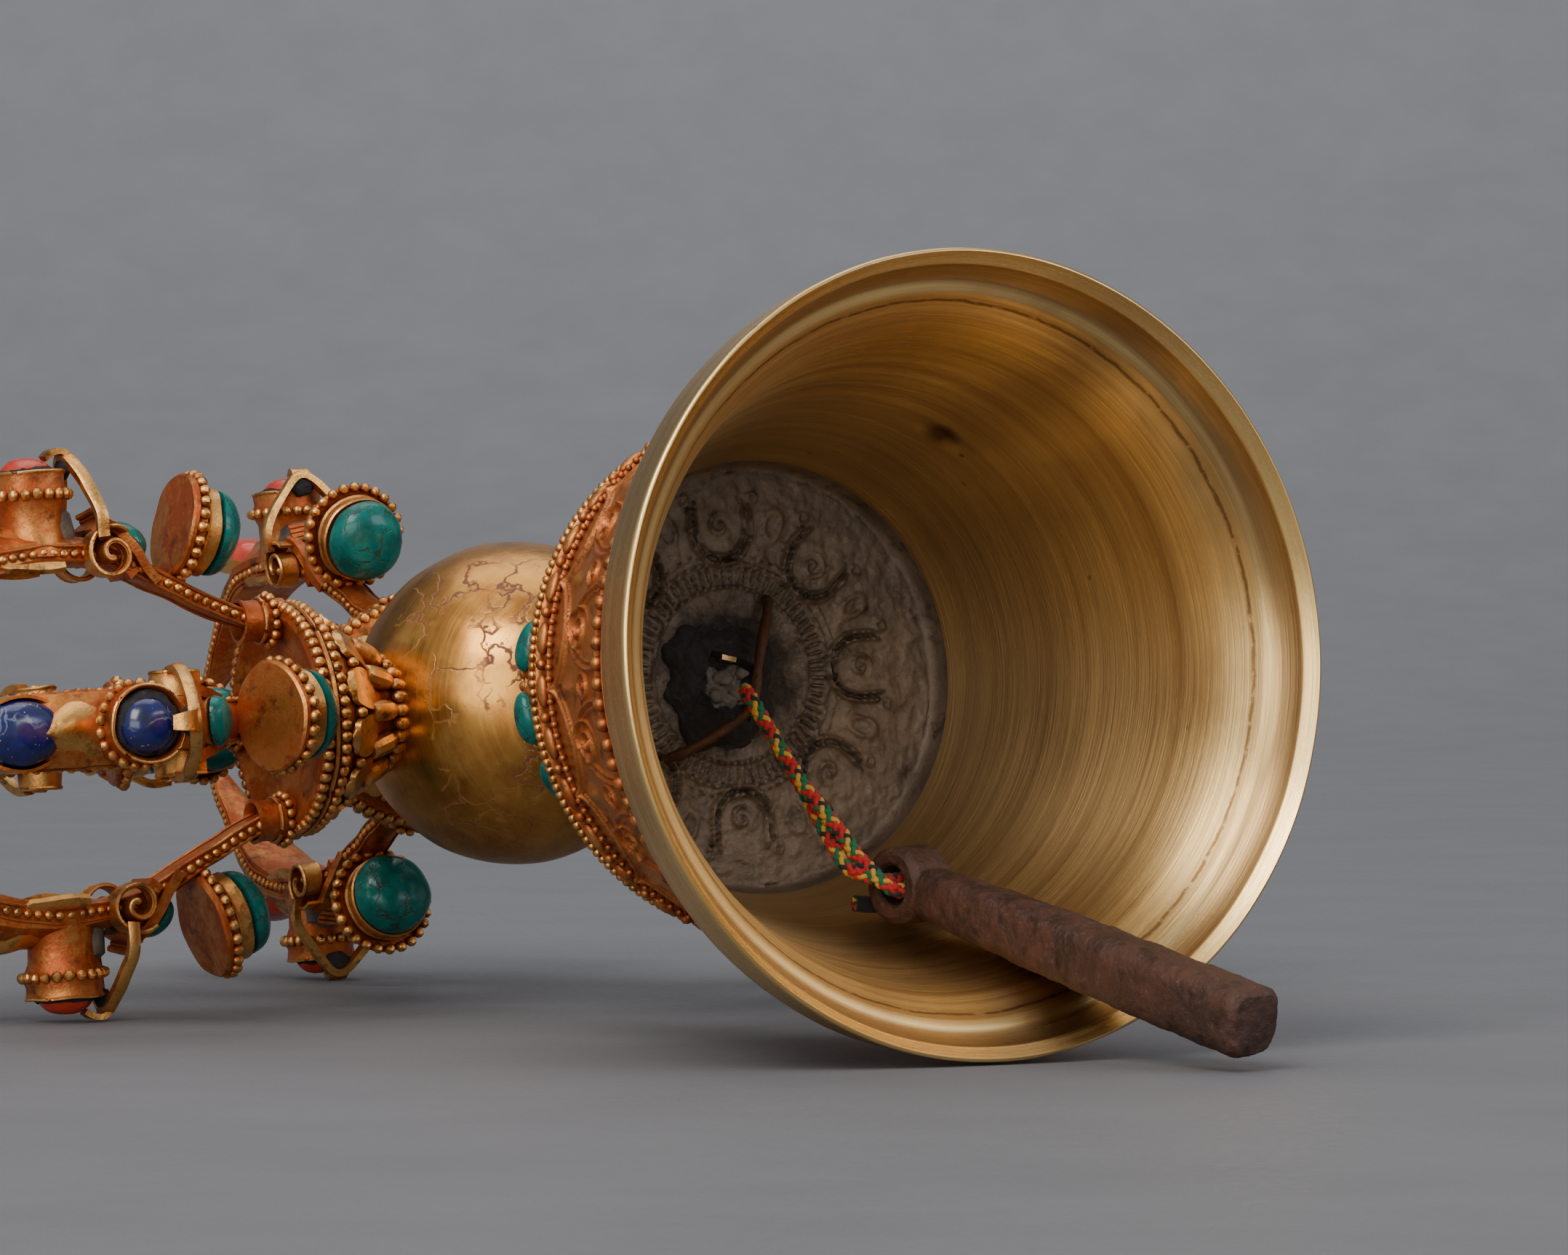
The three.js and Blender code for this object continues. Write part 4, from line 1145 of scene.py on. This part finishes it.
def disc_setting(piece, rng):
    place = at(DISC_RADIAL, 0, DISC_S, 0, math.pi + DISC_TILT, 0)
    round_setting(piece, rng.random(), place)
    gem = stone(5.6, 4.6, 44, rng.uniform(0.97, 1.04), rng.uniform(-0.07, 0.07))
    piece.put(gem, TURQUOISE, place @ at(0, 0, 4.1))
    foot = [Vector(p) for p in ((18.6, 0, 48.8), (19.6, 0, 48.4), (20.6, 0, 47.6))]
    piece.put(strap(smooth_line(foot, 4), SIDEWAYS, 3.6, 1.6), GILT)


def arm(gem, seed):
    rng = random.Random(seed)
    piece = Piece()
    arm_bar(piece)
    leaf_plate(piece)
    cup(piece, gem, rng)
    scrolls(piece)
    slope(piece, rng)
    big_oval(piece, gem)
    disc_setting(piece, rng)
    return piece


# ---- the clapper ----
def clapper():
    """A hand-forged rod, welded to its flattened eye by a remesh, then pitted by noise."""
    length = (CLAPPER_END - CLAPPER_EYE).length
    rows = smooth_row([(2.9, -2.9), (3.1, -6), (3.4, -11), (3.7, -20), (4.0, -34), (4.2, -length + 1.6)], 8)
    rows += [np.array((4.05, -length + 0.7)), np.array((3.5, -length + 0.15)), np.array((1.6, -length))]
    rings = []
    for r, z in rows:
        ring = []
        for k in range(40):
            a = TAU * k / 40
            square = 1 / (abs(math.cos(a)) ** 3.4 + abs(math.sin(a)) ** 3.4) ** (1 / 3.4)
            ring.append(polar(r * 0.98 * square, a, z))
        rings.append(ring)
    piece = Piece().put(loft(rings), IRON)
    t = EYE_THICK / 2
    eye = [(EYE_HOLE_R, -t + 0.5), (EYE_HOLE_R + 0.5, -t), (EYE_R - 1, -t), (EYE_R - 0.2, -t + 0.8),
           (EYE_R - 0.2, t - 0.8), (EYE_R - 1, t), (EYE_HOLE_R + 0.5, t), (EYE_HOLE_R, t - 0.5)]
    piece.put(lathe(eye, 48, True), IRON, at(0, 0, 0, math.pi / 2, 0, 0))
    obj = show("clapper_rod", piece, "clapper", ("clapper",), CLAPPER)
    bpy.context.view_layer.objects.active = obj
    bm = bmesh.new()
    bm.from_mesh(obj.data)
    bmesh.ops.recalc_face_normals(bm, faces=bm.faces)
    bm.to_mesh(obj.data)
    bm.free()
    obj.data.remesh_voxel_size = 0.26 * MM
    obj.data.remesh_voxel_adaptivity = 0
    with bpy.context.temp_override(active_object=obj, object=obj, selected_objects=[obj]):
        bpy.ops.object.voxel_remesh()
    inverse = CLAPPER.inverted()
    mesh = obj.data
    places = [inverse @ (v.co / MM) for v in mesh.vertices]
    outward = [v.normal.copy() for v in mesh.vertices]
    for v, p, out in zip(mesh.vertices, places, outward):
        dents = 0.26 * noise.noise(p / 3.4) + 0.12 * noise.noise(p / 1.2) + 0.06 * noise.noise(p / 0.5)
        v.co += out * dents * 0.8 * MM
    mesh.materials.clear()
    mesh.materials.append(IRON)
    mesh.shade_smooth()


# ---- everything in its place ----
show("bell_cup", bell_cup(), replaced=("bell_shell",))
show("relief_sheet", shoulder_sheet(), replaced=("shoulder_sheet",), sharp=60)
show("shoulder_pearls", shoulder_edge(), replaced=("shoulder_beads",), sharp=60)
show("crown_casting", crown(), replaced=("crown_plate",), sharp=60)
show("pitch_filling", pitch_lump(), replaced=("crown_pitch",), sharp=60)
show("wire_staple", wire_staple(), replaced=("staple",), sharp=60)
show("neck_with_stones", neck(), replaced=("neck_vase",), sharp=60)
show("gilt_ball", ball(), replaced=("hub_ball",))
clapper()

TO_BALL = Matrix.Translation((0, 0, HUB_Z))
facing_bell = TO_BALL @ Matrix.Rotation(math.pi, 4, "X")
show("neck_pearl_ring", double_ring(False), replaced=("neck_ring",), matrix=facing_bell,
     uneven=0.1)
show("neck_lotus_petals", lotus(), replaced=("neck_lotus",), matrix=facing_bell, uneven=0.12,
     seed=9)
for number, (head, turn_y) in enumerate((("left", -math.pi / 2), ("right", math.pi / 2), ("top", 0))):
    to_head = TO_BALL @ Matrix.Rotation(turn_y, 4, "Y")
    show(f"{head}_lotus_petals", lotus(), replaced=(f"{head}_lotus",), matrix=to_head,
         uneven=0.14, seed=number)
    show(f"{head}_pearl_ring", double_ring(True), replaced=(f"{head}_ring",), matrix=to_head,
         uneven=0.1, seed=number)
    show(f"{head}_spindle", centre_point(), replaced=(f"{head}_centre_point",), matrix=to_head)
    for i in range(4):
        gem, look = ("coral", CORAL) if i % 2 else ("lapis", LAPIS)
        show(f"{head}_jewelled_arm_{i + 1}", arm(look, 4 * number + i),
             replaced=(f"{head}_arm_{i + 1}", f"{head}_{gem}_{i + 1}", f"{head}_turquoise_{i + 1}"),
             matrix=to_head @ spin(math.pi / 2 * i), uneven=0.22, seed=4 * number + i)


# ---- floor, backdrop and light ----
def studio():
    """A floor that runs up into a backdrop in one sweep."""
    reach, depth, rise, bend = 6.0, 1.6, 4.0, 1.2
    line = [(-4.0, 0)] + [(depth + bend * math.sin(t), bend * (1 - math.cos(t)))
                          for t in (math.pi / 2 * i / 24 for i in range(25))] + [(depth + bend, rise)]
    bearing = spin(-CAMERA_BEARING)
    points = [bearing @ Vector((side * reach, y, z - 0.0004)) for y, z in line for side in (-1, 1)]
    faces = [(2 * i, 2 * i + 1, 2 * i + 3, 2 * i + 2) for i in range(len(line) - 1)]
    mesh = bpy.data.meshes.new("studio_sweep")
    mesh.from_pydata(points, [], faces)
    mesh.shade_smooth()
    mesh.materials.append(paper_material("studio_paint", (0.135, 0.135, 0.142), 0.05))
    into_scene("studio_sweep", mesh)


def area_light(name, place, target, size, power, colour):
    light = into_scene(name, bpy.data.lights.new(name, "AREA"))
    light.data.shape = "RECTANGLE"
    light.data.size, light.data.size_y = size
    light.data.energy, light.data.color = power, colour
    light.location = place
    light.rotation_euler = (Vector(target) - Vector(place)).to_track_quat("-Z", "Y").to_euler()


studio()
aim = Vector((0, 0, 0.05))
area_light("key", (-0.9, -0.7, 1.15), aim, (0.8, 0.8), 18, (1, 0.97, 0.93))
area_light("front", (-1.25, -1.3, 0.35), aim, (1.5, 0.9), 13, (1, 0.98, 0.95))
area_light("fill", (0.9, -1.1, 0.7), aim, (0.9, 0.7), 7, (0.95, 0.97, 1))
area_light("top", (0.1, 0.3, 1.5), aim, (1.2, 1.0), 6, (1, 0.99, 0.97))
area_light("backdrop", (0.7, 1.3, 1.9), (1.4, 2.5, 0.6), (1.8, 0.8), 36, (0.97, 0.98, 1))
world = bpy.data.worlds.new("soft_room")
world.use_nodes = True
world.node_tree.nodes["Background"].inputs["Color"].default_value = (0.82, 0.85, 0.92, 1)
world.node_tree.nodes["Background"].inputs["Strength"].default_value = 0.6
bpy.context.scene.world = world
